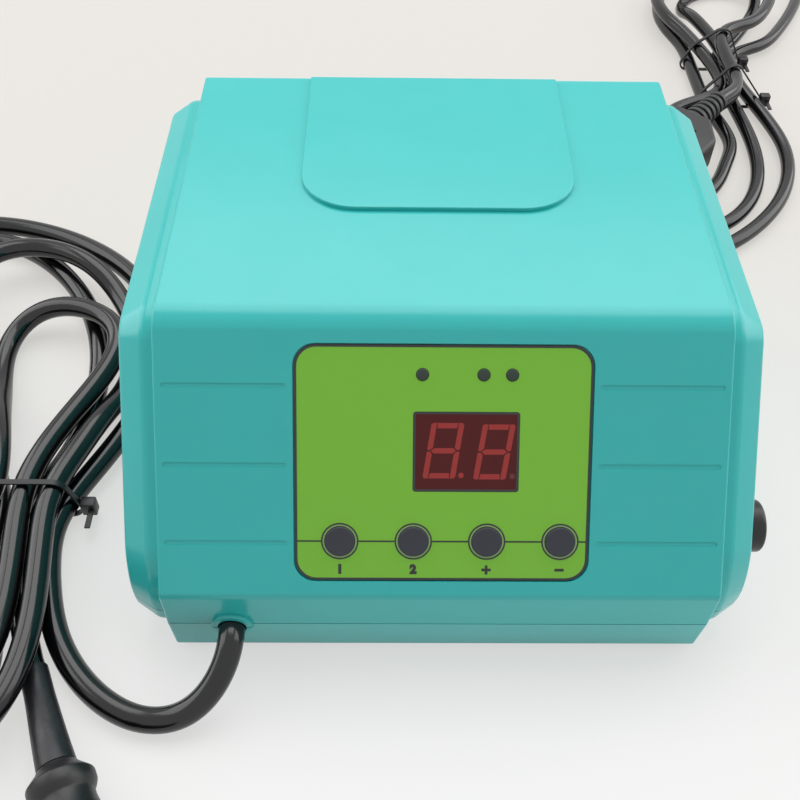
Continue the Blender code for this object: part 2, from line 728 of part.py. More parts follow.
def lower_base(case, look, bores, holes):
    """Model the base tray: floor, posts, standoffs, foot recesses and collar half."""
    caps, band = case_lofts(base_outline)
    base = solid("lower_base", caps, look, case)
    weld(base, tool("base_band", band, case))
    collar = bmesh.new()
    half_collar(collar, -1)
    weld(base, tool("base_additions", collar, case))
    cut(base, base_cavity(case))
    bm = bmesh.new()
    for x, y in foot_places():
        add_round(bm, (x, y, BASE_BOTTOM - OVERRUN), (x, y, BASE_BOTTOM + FOOT_RECESS), FOOT_RADIUS + FIT)
    for x, y in standoff_places()[0]:
        top = MAIN_BOARD_TOP + FIT
        add_round(bm, (x, y, top - SCREW_LENGTH - 3 * FIT), (x, y, top), SCREW_RADIUS + FIT, SMALL_SIDES)
    for x, y in ear_places():
        top = ear_seat() + OVERRUN
        add_round(bm, (x, y, ear_seat() - SCREW_LENGTH - FIT), (x, y, top), SCREW_RADIUS + FIT, SMALL_SIDES)
    x, y = CORD_X + CLAMP_SCREW_X, CLAMP_START + CLAMP_LENGTH / 2
    low = PARTING_HEIGHT + CLAMP_HEIGHT - CLAMP_SCREW_LENGTH - FIT
    add_round(bm, (x, y, low), (x, y, PARTING_HEIGHT + OVERRUN), SCREW_RADIUS + FIT, SMALL_SIDES)
    cut(base, tool("base_holes_cut", bm, case))
    cut(base, bores)
    cut(base, holes)


def ear_seat():
    """Give the height of the top of the transformer's ears."""
    return FLOOR_TOP + STANDOFF_HEIGHT + FIT + CORE_EAR_THICKNESS


def foot_places():
    """Give the feet's places."""
    return [(side * FOOT_X, y) for side in (-1, 1) for y in (FOOT_MARGIN, CASE_DEPTH - FOOT_MARGIN)]


def feet_and_screws(case, rubber, steel):
    """Model the four feet and the four case screws."""
    top = BASE_BOTTOM + FOOT_RECESS - FIT
    profile = ((0, 0), (FOOT_RADIUS - SMALL_FILLET, 0), (FOOT_RADIUS, SMALL_FILLET), (FOOT_RADIUS, top), (0, top))
    for k, (x, y) in enumerate(foot_places()):
        foot = bmesh.new()
        add_turned(foot, profile)
        solid(f"rubber_foot_{k + 1}", foot, rubber, case, (x, y, 0))
    for k, (x, y) in enumerate(post_places()):
        screw = bmesh.new()
        add_screw(
            screw, (x, y, BASE_BOTTOM + COUNTERBORE_DEPTH), (0, 0, 1), CASE_SCREW_LENGTH,
            CASE_SCREW_RADIUS, CASE_SCREW_HEAD_RADIUS, CASE_SCREW_HEAD_HEIGHT
        )
        solid(f"case_screw_{k + 1}", screw, steel, case)


def screws(name, places, direction, look, parent):
    """Model one board screw at each place."""
    for k, place in enumerate(places):
        screw = bmesh.new()
        add_screw(screw, place, direction)
        solid(f"{name}_{k + 1}", screw, look, parent)


def front_panel(face, looks):
    """Model the overlay, the window, the display and the lamps."""
    bm = bmesh.new()
    outline = box_outline((0, OVERLAY_S), (OVERLAY_WIDTH, OVERLAY_HEIGHT), OVERLAY_CORNER)
    add_prism(bm, outline, OVERLAY_LOW, OVERLAY_TOP)
    overlay = solid("front_overlay", bm, looks["overlay"], face)
    holes = bmesh.new()
    low = OVERLAY_LOW - OVERRUN
    opening = (WINDOW_WIDTH + 2 * FIT, WINDOW_HEIGHT + 2 * FIT, OVERRUN - low)
    add_block(holes, (WINDOW_X, WINDOW_S), opening, low)
    for x in LAMP_XS:
        add_round(holes, (x, LAMP_S, low), (x, LAMP_S, OVERRUN), LAMP_RADIUS + FIT, SMALL_SIDES)
    for x in key_places():
        add_round(holes, (x, KEY_S, low), (x, KEY_S, OVERRUN), KEY_RADIUS + FIT)
    cut(overlay, tool("overlay_holes_cut", holes, face))

    window = bmesh.new()
    add_block(window, (WINDOW_X, WINDOW_S), (WINDOW_WIDTH, WINDOW_HEIGHT, OVERLAY_THICKNESS), OVERLAY_LOW)
    solid("display_window", window, looks["filter"], face)

    display = bmesh.new()
    size = (DISPLAY_WIDTH, DISPLAY_HEIGHT, DISPLAY_THICKNESS)
    add_block(display, (WINDOW_X, WINDOW_S), size, -FRONT_BOARD_DEPTH + FIT)
    solid("digit_display", display, looks["display"], face)

    seat = -FRONT_BOARD_DEPTH + FIT
    profile = (
        (0, seat),
        (LAMP_FLANGE_RADIUS, seat),
        (LAMP_FLANGE_RADIUS, seat + LAMP_FLANGE_HEIGHT),
        (LAMP_RADIUS, seat + LAMP_FLANGE_HEIGHT),
        (LAMP_RADIUS, LAMP_PROUD - LAMP_RADIUS / 2),
        (LAMP_RADIUS / math.sqrt(2), LAMP_PROUD - LAMP_RADIUS / 5),
        (0, LAMP_PROUD),
    )
    for k, x in enumerate(LAMP_XS):
        lamp = bmesh.new()
        add_turned(lamp, profile, SMALL_SIDES)
        solid(f"indicator_lamp_{k + 1}", lamp, looks["lamp"], face, (x, LAMP_S, 0))


def keys(face, look):
    """Model the four keys, each with its origin on its own slide axis."""
    flange_top = -WALL - FIT
    flange_low = flange_top - KEY_FLANGE_THICKNESS
    socket_floor = -FRONT_BOARD_DEPTH + FIT + SWITCH_HEIGHT - SWITCH_SOCKET_DEPTH
    stem_end = socket_floor + KEY_TRAVEL + FIT
    top = OVERLAY_TOP + KEY_PROUD
    profile = (
        (0, top),
        (KEY_RADIUS - KEY_EDGE, top),
        (KEY_RADIUS, top - KEY_EDGE),
        (KEY_RADIUS, flange_top),
        (KEY_FLANGE_RADIUS, flange_top),
        (KEY_FLANGE_RADIUS, flange_low),
        (KEY_STEM_RADIUS, flange_low),
        (KEY_STEM_RADIUS, stem_end),
        (0, stem_end),
    )
    for k, x in enumerate(key_places()):
        bm = bmesh.new()
        add_turned(bm, profile)
        solid(f"key_{k + 1}", bm, look, face, (x, KEY_S, 0))


def front_board(face, looks):
    """Model the front board with its screws and the tact switches under the keys."""
    bm = bmesh.new()
    low = -FRONT_BOARD_DEPTH - BOARD_THICKNESS
    add_block(bm, (0, FRONT_BOARD_S), (FRONT_BOARD_WIDTH, FRONT_BOARD_HEIGHT, BOARD_THICKNESS), low)
    board = solid("front_board", bm, looks["board"], face)
    holes = bmesh.new()
    for x, s in front_boss_places():
        add_round(holes, (x, s, low - OVERRUN), (x, s, OVERRUN - FRONT_BOARD_DEPTH), SCREW_RADIUS + FIT, SMALL_SIDES)
    cut(board, tool("front_board_holes_cut", holes, face))
    screws("front_board_screw", [(x, s, low) for x, s in front_boss_places()], (0, 0, 1), looks["steel"], face)

    sockets = bmesh.new()
    seat = -FRONT_BOARD_DEPTH + FIT
    top = seat + SWITCH_HEIGHT
    for x in key_places():
        start = (x, KEY_S, top - SWITCH_SOCKET_DEPTH)
        add_round(sockets, start, (x, KEY_S, top + OVERRUN), KEY_STEM_RADIUS + FIT, SMALL_SIDES)
    cutter = tool("switch_sockets_cut", sockets, face)
    for k, x in enumerate(key_places()):
        body = bmesh.new()
        add_block(body, (x, KEY_S), (SWITCH_SIZE, SWITCH_SIZE, SWITCH_HEIGHT), seat)
        cut(solid(f"tact_switch_{k + 1}", body, looks["black"], face), cutter)


def power_button(case, look, body_look):
    """Model the button, with its origin on its slide axis, and the switch that springs it."""
    flange_outer = CASE_END - WALL - FIT
    flange_inner = flange_outer - BUTTON_FLANGE_THICKNESS
    body_face = MAIN_BOARD_X + MAIN_BOARD_WIDTH / 2
    stem_end = body_face - STEM_INSERTION
    top = CASE_END + BUTTON_PROUD
    profile = [(radius, x - CASE_END) for radius, x in (
        (0, top),
        (BUTTON_RADIUS - BUTTON_EDGE, top),
        (BUTTON_RADIUS - BUTTON_EDGE * 0.3, top - BUTTON_EDGE * 0.3),
        (BUTTON_RADIUS, top - BUTTON_EDGE),
        (BUTTON_RADIUS, flange_outer),
        (BUTTON_FLANGE_RADIUS, flange_outer),
        (BUTTON_FLANGE_RADIUS, flange_inner),
        (BUTTON_STEM_RADIUS, flange_inner),
        (BUTTON_STEM_RADIUS, stem_end),
        (0, stem_end),
    )]
    bm = bmesh.new()
    add_turned(bm, profile, ROUND_SIDES, aim((0, 0, 0), (1, 0, 0)))
    solid("power_button", bm, look, case, (CASE_END, BUTTON_Y, BUTTON_Z))

    body = bmesh.new()
    start = (body_face - POWER_SWITCH_LENGTH, BUTTON_Y - POWER_SWITCH_WIDTH / 2, BOARD_SEAT)
    end = (body_face, BUTTON_Y + POWER_SWITCH_WIDTH / 2, BUTTON_Z + POWER_SWITCH_RISE)
    add_box(body, start, end)
    switch = solid("power_switch_body", body, body_look, case)
    socket = bmesh.new()
    bottom = (stem_end - BUTTON_TRAVEL - FIT, BUTTON_Y, BUTTON_Z)
    add_round(socket, bottom, (body_face + OVERRUN, BUTTON_Y, BUTTON_Z), BUTTON_STEM_RADIUS + FIT)
    cut(switch, tool("switch_socket_cut", socket, case))


def on_board(shares):
    """Give a place on the main board from its shares of the board."""
    return MAIN_BOARD_X + shares[0] * MAIN_BOARD_WIDTH, MAIN_BOARD_Y + shares[1] * MAIN_BOARD_LENGTH


def main_board(case, looks):
    """Model the main board and its screws."""
    bm = bmesh.new()
    size = (MAIN_BOARD_WIDTH, MAIN_BOARD_LENGTH, BOARD_THICKNESS)
    add_block(bm, (MAIN_BOARD_X, MAIN_BOARD_Y), size, MAIN_BOARD_LOW)
    board = solid("main_board", bm, looks["board"], case)
    holes = bmesh.new()
    screwed, pegged = standoff_places()
    for x, y in screwed + pegged:
        low = (x, y, MAIN_BOARD_LOW - OVERRUN)
        add_round(holes, low, (x, y, MAIN_BOARD_TOP + OVERRUN), SCREW_RADIUS + FIT, SMALL_SIDES)
    cut(board, tool("main_board_holes_cut", holes, case))
    screws("main_board_screw", [(x, y, MAIN_BOARD_TOP) for x, y in screwed], (0, 0, -1), looks["steel"], case)


def transformer(case, looks):
    """Model the laminated core with its ears, the coil round its middle limb, and two screws."""
    low = FLOOR_TOP + STANDOFF_HEIGHT + FIT
    top = low + CORE_HEIGHT
    half = CORE_LENGTH / 2
    ear = half + CORE_EAR_LENGTH
    outline = [(TRANSFORMER_Y + y, z) for y, z in (
        (-ear, low), (ear, low), (ear, low + CORE_EAR_THICKNESS), (half, low + CORE_EAR_THICKNESS),
        (half, top), (-half, top), (-half, low + CORE_EAR_THICKNESS), (-ear, low + CORE_EAR_THICKNESS)
    )]
    bm = bmesh.new()
    side = CORE_STACK / 2
    add_prism(bm, outline, TRANSFORMER_X - side, TRANSFORMER_X + side, ALONG_X)
    core = solid("transformer_core", bm, looks["core"], case)
    limb = half - CORE_LIMB - WINDOW_LENGTH
    openings = bmesh.new()
    for sign in (-1, 1):
        ends = sorted((TRANSFORMER_Y + sign * limb, TRANSFORMER_Y + sign * (limb + WINDOW_LENGTH)))
        start = (TRANSFORMER_X - side - OVERRUN, ends[0], low + CORE_LIMB)
        add_box(openings, start, (TRANSFORMER_X + side + OVERRUN, ends[1], top - CORE_LIMB))
    for x, y in ear_places():
        start = (x, y, low - OVERRUN)
        add_round(openings, start, (x, y, low + CORE_EAR_THICKNESS + OVERRUN), SCREW_RADIUS + FIT, SMALL_SIDES)
    cut(core, tool("core_openings_cut", openings, case))
    screws("transformer_screw", [(x, y, ear_seat()) for x, y in ear_places()], (0, 0, -1), looks["steel"], case)

    coil = bmesh.new()
    size = (COIL_WIDTH, 2 * (limb + WINDOW_LENGTH - FIT))
    outline = box_outline((TRANSFORMER_X, TRANSFORMER_Y), size, COIL_FILLET)
    add_prism(coil, outline, low + CORE_LIMB + FIT, top - CORE_LIMB - FIT)
    winding = solid("transformer_coil", coil, looks["copper"], case)
    inner = bmesh.new()
    space = (2 * (side + FIT), 2 * (limb + FIT), top - low)
    add_block(inner, (TRANSFORMER_X, TRANSFORMER_Y), space, low)
    cut(winding, tool("coil_bore_cut", inner, case))


def heatsink(case, looks):
    """Model the finned heatsink and the transistor that is bonded to its front."""
    x, y = on_board(HEATSINK_SHARES)
    left = x - HEATSINK_WIDTH / 2
    rear = y + HEATSINK_DEPTH
    pitch = (HEATSINK_WIDTH - HEATSINK_FIN) / (HEATSINK_FINS - 1)
    outline = [(left, y), (left + HEATSINK_WIDTH, y)]
    for k in reversed(range(HEATSINK_FINS)):
        start = left + pitch * k
        outline += [(start + HEATSINK_FIN, rear), (start, rear)]
        if k:
            plate = y + HEATSINK_PLATE
            outline += [(start, plate), (start - pitch + HEATSINK_FIN, plate)]
    bm = bmesh.new()
    add_prism(bm, outline, BOARD_SEAT, BOARD_SEAT + HEATSINK_HEIGHT)
    solid("heatsink", bm, looks["aluminium"], case)

    body_low = BOARD_SEAT + TRANSISTOR_LEG_LENGTH
    body_top = body_low + TRANSISTOR_HEIGHT
    back = y - FIT
    tab = back - TRANSISTOR_TAB
    front = back - TRANSISTOR_DEPTH
    tab_top = body_top + TRANSISTOR_TAB_RISE
    side = [(back, body_low), (back, tab_top), (tab, tab_top), (tab, body_top), (front, body_top), (front, body_low)]
    bm = bmesh.new()
    add_prism(bm, side, x - TRANSISTOR_WIDTH / 2, x + TRANSISTOR_WIDTH / 2, ALONG_X)
    transistor = solid("power_transistor", bm, looks["black"], case)
    legs = bmesh.new()
    for k in (-1, 0, 1):
        middle = (x + k * TRANSISTOR_LEG_PITCH, (back + front) / 2)
        add_block(legs, middle, (TRANSISTOR_LEG, TRANSISTOR_LEG, TRANSISTOR_LEG_LENGTH + OVERRUN), BOARD_SEAT)
    weld(transistor, tool("transistor_legs", legs, case))


def capacitor(case, look):
    """Model the filter capacitor."""
    edge = CAPACITOR_RADIUS - CAPACITOR_EDGE
    profile = (
        (0, 0), (CAPACITOR_RADIUS, 0), (CAPACITOR_RADIUS, CAPACITOR_HEIGHT - CAPACITOR_EDGE),
        (edge, CAPACITOR_HEIGHT), (0, CAPACITOR_HEIGHT)
    )
    bm = bmesh.new()
    x, y = on_board(CAPACITOR_SHARES)
    add_turned(bm, profile, ROUND_SIDES, Matrix.Translation((x, y, BOARD_SEAT)))
    solid("filter_capacitor", bm, look, case)


def board_blocks(case, looks):
    """Model the relay, the buzzer and the controller chip."""
    relay = bmesh.new()
    add_block(relay, on_board(RELAY_SHARES), RELAY_SIZE, BOARD_SEAT)
    bevel(solid("relay", relay, looks["relay"], case))

    buzzer = bmesh.new()
    port_floor = BUZZER_HEIGHT - BUZZER_PORT_DEPTH
    profile = (
        (0, 0), (BUZZER_RADIUS, 0), (BUZZER_RADIUS, BUZZER_HEIGHT), (BUZZER_PORT_RADIUS, BUZZER_HEIGHT),
        (BUZZER_PORT_RADIUS, port_floor), (0, port_floor)
    )
    x, y = on_board(BUZZER_SHARES)
    add_turned(buzzer, profile, ROUND_SIDES, Matrix.Translation((x, y, BOARD_SEAT)))
    solid("buzzer", buzzer, looks["black"], case)

    chip = bmesh.new()
    add_block(chip, on_board(CHIP_SHARES), CHIP_SIZE, BOARD_SEAT)
    bevel(solid("controller_chip", chip, looks["black"], case))


def bevel(target):
    """Soften a block's edges."""
    step = target.modifiers.new("edges", "BEVEL")
    step.width = BLOCK_EDGE
    step.segments = 1


def fuse(case, looks):
    """Model the glass fuse with its caps, and the holder whose two ends clip round it."""
    x, y = on_board(FUSE_SHARES)
    z = BOARD_SEAT + FUSE_RISE
    half = FUSE_LENGTH / 2
    profile = (
        (0, -half), (FUSE_CAP_RADIUS, -half), (FUSE_CAP_RADIUS, FUSE_CAP_LENGTH - half),
        (FUSE_RADIUS, FUSE_CAP_LENGTH - half), (FUSE_RADIUS, half - FUSE_CAP_LENGTH),
        (FUSE_CAP_RADIUS, half - FUSE_CAP_LENGTH), (FUSE_CAP_RADIUS, half), (0, half)
    )
    bm = bmesh.new()
    add_turned(bm, profile, SMALL_SIDES, aim((x, y, z), (0, 1, 0)))
    solid("fuse", bm, looks["glass"], case)

    holder = bmesh.new()
    inner = FUSE_CAP_RADIUS + FIT
    outer = inner + CLIP_WALL
    floor = z - inner
    outline = [(z_here, x + x_here) for z_here, x_here in (
        (BOARD_SEAT, -outer), (BOARD_SEAT, outer), (z + inner, outer), (z + inner, inner),
        (floor, inner), (floor, -inner), (z + inner, -inner), (z + inner, -outer)
    )]
    add_prism(holder, outline, y - half, y + half, ALONG_Y)
    made = solid("fuse_holder", holder, looks["ivory"], case)
    gap = bmesh.new()
    reach = half - CLIP_WIDTH
    add_box(gap, (x - outer - OVERRUN, y - reach, floor), (x + outer + OVERRUN, y + reach, z + inner + OVERRUN))
    cut(made, tool("fuse_gap_cut", gap, case))


def terminal_block(case, look):
    """Model the mains terminal block with its wire holes and screw holes."""
    bm = bmesh.new()
    x, y = on_board(TERMINAL_SHARES)
    add_block(bm, (x, y), TERMINAL_SIZE, BOARD_SEAT)
    block = solid("terminal_block", bm, look, case)
    holes = bmesh.new()
    rear = y + TERMINAL_SIZE[1] / 2
    top = BOARD_SEAT + TERMINAL_SIZE[2]
    pitch = TERMINAL_SIZE[0] / TERMINAL_WAYS
    for k in range(TERMINAL_WAYS):
        middle = x + pitch * (k - (TERMINAL_WAYS - 1) / 2)
        z = BOARD_SEAT + TERMINAL_SIZE[2] / 3
        start = (middle, rear - TERMINAL_HOLE_DEPTH, z)
        add_round(holes, start, (middle, rear + OVERRUN, z), TERMINAL_HOLE_RADIUS, SMALL_SIDES)
        well = (middle, y, top - TERMINAL_SIZE[2] / 4)
        add_round(holes, well, (middle, y, top + OVERRUN), TERMINAL_HOLE_RADIUS, SMALL_SIDES)
    cut(block, tool("terminal_holes_cut", holes, case))


def panel_cable(case, face, looks):
    """Model the flat cable between the boards with the plugs at its two ends."""
    x, y = on_board(SOCKET_SHARES)
    width, depth, height = SOCKET_SIZE
    slope = Vector((math.cos(FACE_ANGLE), math.sin(FACE_ANGLE)))
    outward = Vector((-slope.y, slope.x))
    back = -FRONT_BOARD_DEPTH - BOARD_THICKNESS - FIT
    start = Vector((0, SKIRT_TOP)) + slope * FRONT_BOARD_S + outward * (back - height / 2)
    end = Vector((y, BOARD_SEAT + height / 2))
    reach = height + CABLE_WIDTH
    middle = bezier(start, start - outward * reach, end + Vector((0, reach)), end)
    strip = bmesh.new()
    add_prism(strip, thicken(middle, CABLE_THICKNESS / 2), x - CABLE_WIDTH / 2, x + CABLE_WIDTH / 2, ALONG_X)
    cable = solid("panel_cable", strip, looks["grey"], case)
    lower = bmesh.new()
    add_block(lower, (x, y), (width, depth, height), BOARD_SEAT)
    weld(cable, tool("main_cable_plug", lower, case))
    upper = bmesh.new()
    add_block(upper, (x, FRONT_BOARD_S), (width, depth, height), back - height)
    weld(cable, tool("front_cable_plug", upper, face))


def bezier(start, leave, arrive, end, steps=8):
    """Read points from a Bezier curve."""
    points = []
    for k in range(steps + 1):
        t = k / steps
        u = 1 - t
        points.append(start * u ** 3 + leave * (3 * u * u * t) + arrive * (3 * u * t * t) + end * t ** 3)
    return points


def thicken(points, half):
    """Give the outline of a strip along a line of points."""
    sides = []
    for k, point in enumerate(points):
        before = points[max(k - 1, 0)]
        after = points[min(k + 1, len(points) - 1)]
        along = (after - before).normalized()
        sides.append(Vector((-along.y, along.x)) * half)
    right = [point - side for point, side in zip(points, sides)]
    left = [point + side for point, side in zip(points, sides)]
    return right + left[::-1]


def front_cord_holder(case, looks):
    """Model the clamp over the control cord, its screw, and the terminal that the cord runs to."""
    bm = bmesh.new()
    size = (2 * CLAMP_HALF_WIDTH, CLAMP_LENGTH, CLAMP_HEIGHT)
    y = CLAMP_START + CLAMP_LENGTH / 2
    add_block(bm, (CORD_X, y), size, PARTING_HEIGHT)
    clamp = solid("front_cord_clamp", bm, looks["black"], case)
    holes = bmesh.new()
    start = (CORD_X, CLAMP_START - OVERRUN, PARTING_HEIGHT)
    add_round(holes, start, (CORD_X, CLAMP_START + CLAMP_LENGTH + OVERRUN, PARTING_HEIGHT), CORD_HOLE_RADIUS)
    top = PARTING_HEIGHT + CLAMP_HEIGHT
    x = CORD_X + CLAMP_SCREW_X
    add_round(holes, (x, y, PARTING_HEIGHT - OVERRUN), (x, y, top + OVERRUN), SCREW_RADIUS + FIT, SMALL_SIDES)
    cut(clamp, tool("clamp_holes_cut", holes, case))
    screw = bmesh.new()
    add_screw(screw, (x, y, top), (0, 0, -1), CLAMP_SCREW_LENGTH)
    solid("cord_clamp_screw", screw, looks["steel"], case)

    block = bmesh.new()
    middle = (CORD_X, cord_inner_end() + FIT + TERMINAL_BLOCK[1] / 2)
    add_block(block, middle, TERMINAL_BLOCK, FLOOR_TOP + FIT)
    solid("cord_terminal", block, looks["ivory"], case)


def cord_inner_end():
    """Give how far into the case the control cord reaches."""
    return CLAMP_START + CLAMP_LENGTH + CORD_DIAMETER


# Control cord: its route to the tie, by hand, from the collar's face
CORD_RUN = (
    (-0.0546, -0.0012, 0.016), (-0.0547, -0.0065, 0.0155), (-0.0566, -0.0137, 0.0115),
    (-0.0619, -0.0197, 0.0065), (-0.0673, -0.0223, 0.0039), (-0.0783, -0.0222, 0.0036),
    (-0.0868, -0.018, 0.0036), (-0.0954, -0.011, 0.0036), (-0.1044, 0.0008, 0.0036),
    (-0.1096, 0.014, 0.0036), (-0.1125, 0.0262, 0.0036), (-0.1142, 0.0376, 0.0047),
)
CORD_TAIL = (
    (-0.1227, 0.0351, 0.0047), (-0.1198, 0.0269, 0.0038), (-0.118, 0.0133, 0.0036),
    (-0.1132, 0.0022, 0.0037), (-0.1106, -0.0043, 0.0039), (-0.1084, -0.0082, 0.0041),
)
CORD_HANK = {"waist": (-0.1145, 0.045), "slot": 0.008, "layer": 0.008, "diameter": CORD_DIAMETER, "ease": 0.008}
# Each loop: near slot, far slot, reach, lean, near bulge, far bulge, their two powers, whether it runs
# from the far slot to the near one, and the shares of the way round where it lies in each layer
CORD_LOOPS = (
    (0, 3, 0.134, -0.0454, 0.0752, 0.0764, 0.9, 1.02, False, ((0, 0), (1, 0))),
    (0, 3, -0.0861, -0.0149, 0.0375, 0.0707, 1.65, 1.13, True, ((0, 1), (0.28, 1), (0.9, 0), (1, 0))),
    (0, 3, 0.1122, -0.0222, 0.0493, 0.0382, 1.03, 0.87, False, ((0, 1), (0.09, 1), (0.14, 0), (0.29, 0), (0.37, 1), (1, 1))),
    (1, 3, -0.0775, -0.0123, 0.0286, 0.0498, 1.5, 1.51, True, ((0, 1), (0.47, 1), (0.57, 0), (0.81, 0), (0.96, 1), (1, 1))),
    (1, 2, 0.0821, -0.0084, 0.0606, 0.0304, 1.76, 1.55, False, ((0, 1), (0.42, 1), (0.67, 0), (0.8, 0), (0.9, 1), (1, 1))),
    (2, 2, -0.0715, -0.0057, 0.036, 0.0464, 2.03, 1.56, True, ((0, 0), (0.46, 0), (0.78, 1), (1, 1))),
    (1, 2, 0.1247, -0.0407, 0.0393, 0.0707, 0.75, 1.18, True, ((0, 0), (1, 0))),
)

# Mains lead: its route to the tie, by hand, from the strain relief's end
LEAD_RUN = (
    (0.03, 0.1838, 0.016), (0.03, 0.19, 0.0156), (0.031, 0.199, 0.012), (0.0328, 0.2024, 0.0068),
    (0.0469, 0.2146, 0.0036), (0.0751, 0.206, 0.003), (0.0778, 0.2005, 0.003), (0.0959, 0.1966, 0.003),
    (0.1058, 0.1943, 0.003), (0.1174, 0.2023, 0.003), (0.1241, 0.2103, 0.003), (0.1301, 0.2238, 0.003),
    (0.1362, 0.2384, 0.003), (0.1308, 0.2668, 0.0041),
)
LEAD_TAIL = (
    (0.1407, 0.2633, 0.0175), (0.1375, 0.2565, 0.0182), (0.1322, 0.2508, 0.0195), (0.127, 0.2446, 0.0204),
)
LEAD_HANK = {
    "waist": (0.1497, 0.268), "length": 0.04, "slot": 0.0067, "layer": 0.0067, "diameter": LEAD_DIAMETER, "ease": 0.006
}
LEAD_LOOPS = (
    (0, 2, 0.1038, 0.0438, 0.0592, 0.0505, 0.51, 0.91, True, ((0, 0), (1, 0))),
    (0, 2, -0.1076, -0.0494, 0.0358, 0.0665, 0.78, 0.52, False, ((0, 0), (0.5, 0), (0.7, 1), (1, 1))),
    (1, 2, 0.0861, 0.0195, 0.051, 0.0423, 0.86, 0.88, True, ((0, 0), (0.19, 0), (0.6, 1), (1, 1))),
    (1, 1, -0.0895, -0.0334, 0.0275, 0.0706, 1.38, 0.95, False, ((0, 0), (0.49, 0), (0.72, 1), (1, 1))),
    (1, 1, 0.0697, 0.0197, 0.0438, 0.0399, 0.46, 1.54, True, ((0, 2), (0.27, 2), (0.51, 0), (0.76, 0), (0.86, 1), (1, 1))),
)


def layer_share(share, climbs):
    """Give the layer at a share of the way round, easing between the listed ones."""
    shares = [c[0] for c in climbs]
    k = min(max(int(np.searchsorted(shares, share, side="right")) - 1, 0), len(climbs) - 2)
    t = min(max((share - shares[k]) / (shares[k + 1] - shares[k]), 0), 1)
    return climbs[k][1] + (climbs[k + 1][1] - climbs[k][1]) * t * t * (3 - 2 * t)


def loop_points(hank, loop):
    """Give a loop of a hank as a bulged half turn from one slot of the waist to another."""
    near, far, reach, lean, near_bulge, far_bulge, near_power, far_power, backward, climbs = loop
    points = []
    for k in range(LOOP_POINTS + 1):
        angle = math.pi * k / LOOP_POINTS
        out, across = math.sin(angle), math.cos(angle)
        bulge = near_bulge * out ** near_power if across > 0 else far_bulge * out ** far_power
        slot = near + (far - near) * (1 - across) / 2
        x = hank["waist"][0] - hank["slot"] * slot + lean * out ** 2 + across * bulge
        y = hank["waist"][1] + reach * out + (hank.get("length", 0) if reach > 0 else 0)
        lifted = (TIE_THICKNESS + TIE_FIT) * across ** 8
        z = hank["diameter"] / 2 + hank["layer"] * layer_share(k / LOOP_POINTS, climbs) + lifted
        points.append((x, y, z))
    return points[::-1] if backward else points


def catmull_rom(points, step):
    """Read a centripetal Catmull-Rom curve through the points, one place every step."""
    points = np.array(points, float)
    chain = np.vstack((2 * points[0] - points[1], points, 2 * points[-1] - points[-2]))
    places = []
    for a, b, c, d in zip(chain, chain[1:], chain[2:], chain[3:]):
        ta = 0
        tb = ta + np.linalg.norm(b - a) ** 0.5
        tc = tb + np.linalg.norm(c - b) ** 0.5
        td = tc + np.linalg.norm(d - c) ** 0.5
        for t in np.linspace(tb, tc, 12, endpoint=False):
            ab = ((tb - t) * a + (t - ta) * b) / (tb - ta)
            bc = ((tc - t) * b + (t - tb) * c) / (tc - tb)
            cd = ((td - t) * c + (t - tc) * d) / (td - tc)
            abc = ((tc - t) * ab + (t - ta) * bc) / (tc - ta)
            bcd = ((td - t) * bc + (t - tb) * cd) / (td - tb)
            places.append(((tc - t) * abc + (t - tb) * bcd) / (tc - tb))
    places.append(points[-1])
    return spaced(np.array(places), step)


def along(points):
    """Give the distance of each point from the start."""
    return np.concatenate(([0], np.cumsum(np.linalg.norm(np.diff(points, axis=0), axis=1))))


def spaced(points, step):
    """Space points evenly along a line."""
    reach = along(points)
    count = max(2, int(reach[-1] / step) + 1)
    wanted = np.linspace(0, reach[-1], count)
    return np.array([np.interp(wanted, reach, points[:, axis]) for axis in range(3)]).T


def eased(points, step, width):
    """Ease out a line's tight spots with a bell-shaped average that narrows at both ends."""
    span = int(3 * width / step)
    bell = np.exp(-0.5 * (np.arange(-span, span + 1) * step / width) ** 2)
    result = points.copy()
    for k in range(len(points)):
        m = min(span, k, len(points) - 1 - k)
        weights = bell[span - m:span + m + 1]
        result[k] = (points[k - m:k + m + 1] * weights[:, None]).sum(axis=0) / weights.sum()
    return result


def hanked_line(run, hank, loops, tail):
    """Give a cord's whole middle line, and where its free run ends and its hank starts."""
    chain = list(run)
    for loop in loops:
        chain += loop_points(hank, loop)[1:]
    line = eased(catmull_rom(chain + list(tail), CURVE_STEP), CURVE_STEP, hank["ease"])
    split = int(np.argmin(np.linalg.norm(line[:len(line) // 3] - np.array(run[-1]), axis=1)))
    return line, split


def least_gap(line, diameter):
    """Measure the least gap of a cord to itself on points of its middle line."""
    fine = spaced(line, CURVE_STEP)
    skip = int(3.2 * diameter / CURVE_STEP) + 1
    apart = np.linalg.norm(fine[:, None] - fine[None], axis=2)
    first, second = np.triu_indices(len(fine), skip)
    return float(apart[first, second].min()) - diameter


def squared(points, diameter, start_way=None, end_way=None):
    """Run a tube's ends straight for one diameter, square to what they meet."""
    points = [Vector(p) for p in points]
    for way, end, inner in ((start_way, 0, 1), (end_way, -1, -2)):
        if way is None:
            way = points[inner] - points[end]
        straight = points[end] + Vector(way).normalized() * diameter
        while (points[inner] - points[end]).length < diameter * 1.5 and len(points) > 4:
            points.pop(inner)
        points.insert(1 if end == 0 else len(points) - 1, straight)
    return points


